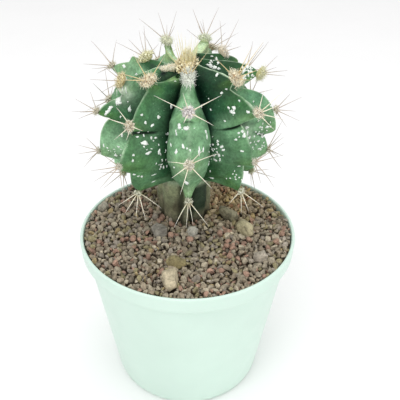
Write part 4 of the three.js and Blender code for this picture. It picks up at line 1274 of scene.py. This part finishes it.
def bed_height(x, y):
    """The height of the solid bed at a place: the tops of its jittered heaps."""
    grain = BED["grain"]
    column, row = int(np.floor(x / grain)), int(np.floor(y / grain))
    top = 0.0
    for i in range(column - 1, column + 2):
        for j in range(row - 1, row + 2):
            heap_x, heap_y = (i + 0.2 + 0.6 * draw(i, j, 1)) * grain, (j + 0.2 + 0.6 * draw(i, j, 2)) * grain
            reach = np.hypot(x - heap_x, y - heap_y) / (0.72 * grain)
            top = max(top, BED["grain_height"] * (0.6 + 0.7 * draw(i, j, 3)) * (1 - reach**2))
    return ground_height(x, y) - 0.5 * BED["grain_height"] + top


def cut_back(ball, rng, cuts, least, most, share=1.0):
    """A ball cut back, by a share of what is over, at random planes this far from its middle."""
    for way, reach in zip(unit(rng.normal(size=(cuts, 3))), rng.uniform(least, most, cuts)):
        over = np.maximum(0, ball @ way - reach)
        ball = ball - share * over[:, None] * way
    return ball


def rock(ball, size, rng):
    """A unit ball cut back by random planes, stretched and turned, as broken stone is."""
    shape = cut_back(ball, rng, 9, 0.38, 0.8) * size
    return shape @ np.linalg.qr(rng.normal(size=(3, 3)))[0]


def scattered(rng, radius, spacing):
    """Places in a disc that keep their distance, by throwing and testing on a coarse grid."""
    cell = spacing.max()
    grid, places, sizes = {}, [], []
    for size in np.sort(spacing)[::-1]:
        for _ in range(40):
            spot = rng.uniform(-radius, radius, 2)
            if np.hypot(*spot) > radius - 0.42 * size:
                continue
            key = tuple(np.floor(spot / cell).astype(int))
            near = [p for i in (-1, 0, 1) for j in (-1, 0, 1) for p in grid.get((key[0] + i, key[1] + j), [])]
            if all(np.hypot(spot[0] - p[0], spot[1] - p[1]) > 0.5 * (size + p[2]) for p in near):
                grid.setdefault(key, []).append((*spot, size))
                places.append(spot)
                sizes.append(size)
                break
    return np.array(places), np.array(sizes)


def under_stone(x, y):
    """Whether a place is under one of the larger stones."""
    stones = STONES.values()
    return any(np.hypot((x - at[0]) / half[0], (y - at[1]) / half[1]) < 0.95 for at, half, *_ in stones)


def make_gravel(material):
    """Loose grains in two layers on a bed that fills the pot, painted dark as shade in the gaps between them.
    """
    rng = np.random.RandomState(5)
    soup = Soup()
    inner = POT["rim_radius"] - 0.5 - POT["wall"]
    bottom = POT["base_radius"] - 0.4 - POT["wall"] - GAP
    floor, level = POT["floor"] + GAP, BED["level"] - BED_DROP
    section = [(0.02, floor), (bottom, floor), (inner - 2.2, 74), (inner - 0.3, level)]
    section += [(inner * share, level) for share in (0.9, 0.7, 0.5, 0.3, 0.02)]
    soup.add(*turned(section, 96), linear(BED_SHADE_COLOUR))
    ball, ball_faces = icosphere(2)
    shades = linear([shade for shade, _ in GRAIN_SHADES])
    weights = np.array([weight for _, weight in GRAIN_SHADES])
    for drop, number, low, high in GRAIN_LAYERS:
        radii = low + (high - low) * rng.uniform(size=number) ** 2.4
        places, spans = scattered(rng, inner, radii * GRAIN_SPACING)
        for (x, y), span in zip(places, spans):
            if np.hypot(x - STEM_LEAN, y - STEM_BACK) < STEM_HOLE or (drop < 1 and under_stone(x, y)):
                continue
            half = span / GRAIN_SPACING * rng.uniform((0.95, 0.8, 0.6), (1.3, 1.05, 0.9))
            height = bed_height(x, y) - drop - 0.35 * half[2] + rng.uniform(-0.3, 0.3)
            grain = rock(ball, half, rng) + [x, y, height]
            reach = np.hypot(grain[:, 0], grain[:, 1])
            over = np.maximum(reach - inner, 0) / reach
            grain[:, :2] -= grain[:, :2] * over[:, None]
            tone = shades[rng.choice(len(weights), p=weights / weights.sum())] * rng.uniform(0.72, 1.08)
            rusty = bell(np.hypot(x - RUSTY[0], y - RUSTY[1]), RUSTY[2])
            soup.add(grain, ball_faces, tone * mix(GREYISH_TONE, RUSTY_TONE, rusty))
    soup.piece("gravel", [material], "gravel", ["gravel_bed"], smooth=False)


def make_stones():
    """The larger stones: balls cut back by random planes and worn."""
    material = stone_material("stone", 700, 0.0005)
    ball, faces = icosphere(4)
    for index, (name, (at, half, turn, colour, slot)) in enumerate(STONES.items()):
        rng = np.random.RandomState(300 + index)
        blocky = 0.62 if name in SLABS else 0.85
        shape = cut_back(np.sign(ball) * np.abs(ball) ** blocky, rng, 8, 0.72, 0.98, 0.97)
        shape *= np.array(half) * SLABS.get(name, (1.1, 1.1, 1.1))
        lumps = 0.16 * ripple(shape + index, 1.8, 71) + 0.07 * ripple(shape, 0.7, 72)
        shape += unit(shape) * lumps[:, None]
        x, y = at
        axes = np.stack([outwards(turn + 90), -outwards(turn), [0, 0, 1]])
        place = shape @ axes + [x, y, ground_height(x, y) + STONE_LIFT * half[2]]
        darker = 0.6 * smoothstep(0, 1.2, ripple(place, 2.2, 73))
        soup = Soup()
        soup.add(place, faces, painted(linear(colour), np.array(colour) * 0.72, darker))
        soup.piece(f"{name}_worn", [material], slot, [name])


def pot_profile():
    """The pot's section from the middle of the base out, up, over the rim and down to the floor."""
    rim, height, base, rounding = POT["rim_radius"], POT["height"], POT["base_radius"], POT["base_round"]
    shoulder, collar = POT["shoulder_radius"], POT["height"] - POT["collar_height"]
    wall, floor = POT["wall"], POT["floor"]
    turn = np.radians(np.linspace(0, 80, 7))
    foot = [(base + rounding * (1.1 * np.sin(a) - 1), rounding * (1 - np.cos(a))) for a in turn]
    outside = [(mix(base + 0.4, shoulder, s), mix(3.2, collar, s)) for s in np.linspace(0.02, 1, 24)]
    step = [(shoulder + 0.5, collar + 0.1), (rim - 1.2, collar + 0.5), (rim - 0.6, collar + 1.1)]
    band = [(mix(rim - 0.35, rim - 0.1, s), mix(collar + 1.8, height - 1.6, s)) for s in np.linspace(0, 1, 6)]
    lip = [(rim, height - 1.0), (rim - 0.12, height - 0.5), (rim - 0.5, height - 0.12), (rim - 0.95, height)]
    inner_lip = [(rim - 1.35, height - 0.15), (rim - 1.6, height - 0.6)]
    above = np.linspace(0, 1, 5)
    inside = [(mix(rim - 1.65, rim - 1.9, s), mix(height - 1.2, collar + 2.6, s)) for s in above]
    inside += [(shoulder - wall, collar + 0.6)]
    below = np.linspace(0.1, 1, 10)
    inside += [(mix(shoulder - wall, base + 0.4 - wall, s), mix(collar, 4, s)) for s in below]
    inside += [(base - 1.6 - wall, floor)]
    return [(0.02, 0)] + foot + outside + step + band + lip + inner_lip + inside + [(0.02, floor)]


def make_pot():
    """The moulded pot with its drainage holes."""
    soup = Soup()
    soup.add(*turned(pot_profile(), POT_SIDES), linear(POT_COLOUR))
    drill(soup.piece("pot_moulded", [pot_material()], "pot_plastic", ["pot"]))


def drill(pot):
    """Cut the drainage holes through the pot's floor and paint their walls as the pot."""
    tube = Soup()
    ends = [(POT["hole_radius"], -DRILL_REACH), (POT["hole_radius"], DRILL_REACH)]
    points, faces = turned(ends, HOLE_SIDES)
    for turn in around(POT["hole_count"]):
        middle = np.array([np.cos(turn), np.sin(turn), 0]) * POT["hole_circle"]
        tube.add(points + middle, faces, (1, 1, 1))
    cutter = in_scene("drill", tube.mesh("drill", smooth=False))
    modifier = pot.modifiers.new("holes", "BOOLEAN")
    modifier.operation = "DIFFERENCE"
    modifier.object = cutter
    bpy.context.view_layer.update()
    drilled = bpy.data.meshes.new_from_object(pot.evaluated_get(bpy.context.evaluated_depsgraph_get()))
    pot.modifiers.clear()
    pot.data = drilled
    bpy.data.objects.remove(cutter)
    shades = np.tile([*linear(POT_COLOUR), 1], len(drilled.vertices)).astype(np.float32)
    drilled.color_attributes["paint"].data.foreach_set("color", shades)
    drilled.set_sharp_from_angle(angle=np.radians(50))


# ---------- the stage ----------

LIGHTS = [  # name, place in metres, size and power
    ("key", (-0.3, -0.5, 0.95), 0.6, 3.0),
    ("top", (0.1, 0.1, 1.2), 0.7, 2.4),
    ("fill", (0.7, -0.6, 0.35), 0.6, 1.3),
]
FLOOR_SIZE = 6  # in metres, as the next is
FLOOR_DROP = 0.0002
SKY = 0.83


def make_stage():
    """The pale floor, the white surroundings and the soft lights."""
    bpy.ops.mesh.primitive_plane_add(size=FLOOR_SIZE, location=(0, 0, -FLOOR_DROP))
    floor = bpy.context.object
    floor.name = "floor"
    floor.data.materials.append(floor_material())
    world = bpy.data.worlds.new("studio")
    world.use_nodes = True
    sky = world.node_tree.nodes["Background"].inputs
    sky["Color"].default_value = (1.0, 1.0, 1.0, 1)
    sky["Strength"].default_value = SKY
    bpy.context.scene.world = world
    for name, place, size, power in LIGHTS:
        light = in_scene(name, bpy.data.lights.new(name, "AREA"))
        light.data.size = size
        light.data.energy = power
        light.location = place
        aim = Vector((0, 0, AIM_HEIGHT * MM)) - light.location
        light.rotation_euler = aim.to_track_quat("-Z", "Y").to_euler()


def make_camera():
    """The camera that sees the pot as the photograph does."""
    camera = in_scene("camera", bpy.data.cameras.new("camera"))
    camera.data.lens = LENS
    camera.data.sensor_width = SENSOR
    camera.data.shift_x = POT_LEFT_OF_MIDDLE / IMAGE
    camera.location = Vector(CAMERA_AT) * MM
    camera.rotation_euler = Vector(-BACKWARD).to_track_quat("-Z", "Y").to_euler()
    bpy.context.scene.camera = camera


bpy.context.scene.view_settings.view_transform = "Standard"
make_camera()
make_stage()
skin = Skin()
skin_tree = skin.tree()
make_skin(skin, skin_tree)
bunch_materials = [wool_material("areole_wool", 0.82), spine_material()]
for number in range(len(RIBS)):
    for level in range(1, len(BUNCHES) + 1):
        make_bunch(number, level, bunch_materials)
make_crown(skin_tree, bunch_materials)
make_flecks(skin, skin_tree, [wool_material("fleck_felt", 0.92)])
make_gravel(stone_material("gravel_grain", 900, 0.0004))
make_stones()
make_pot()
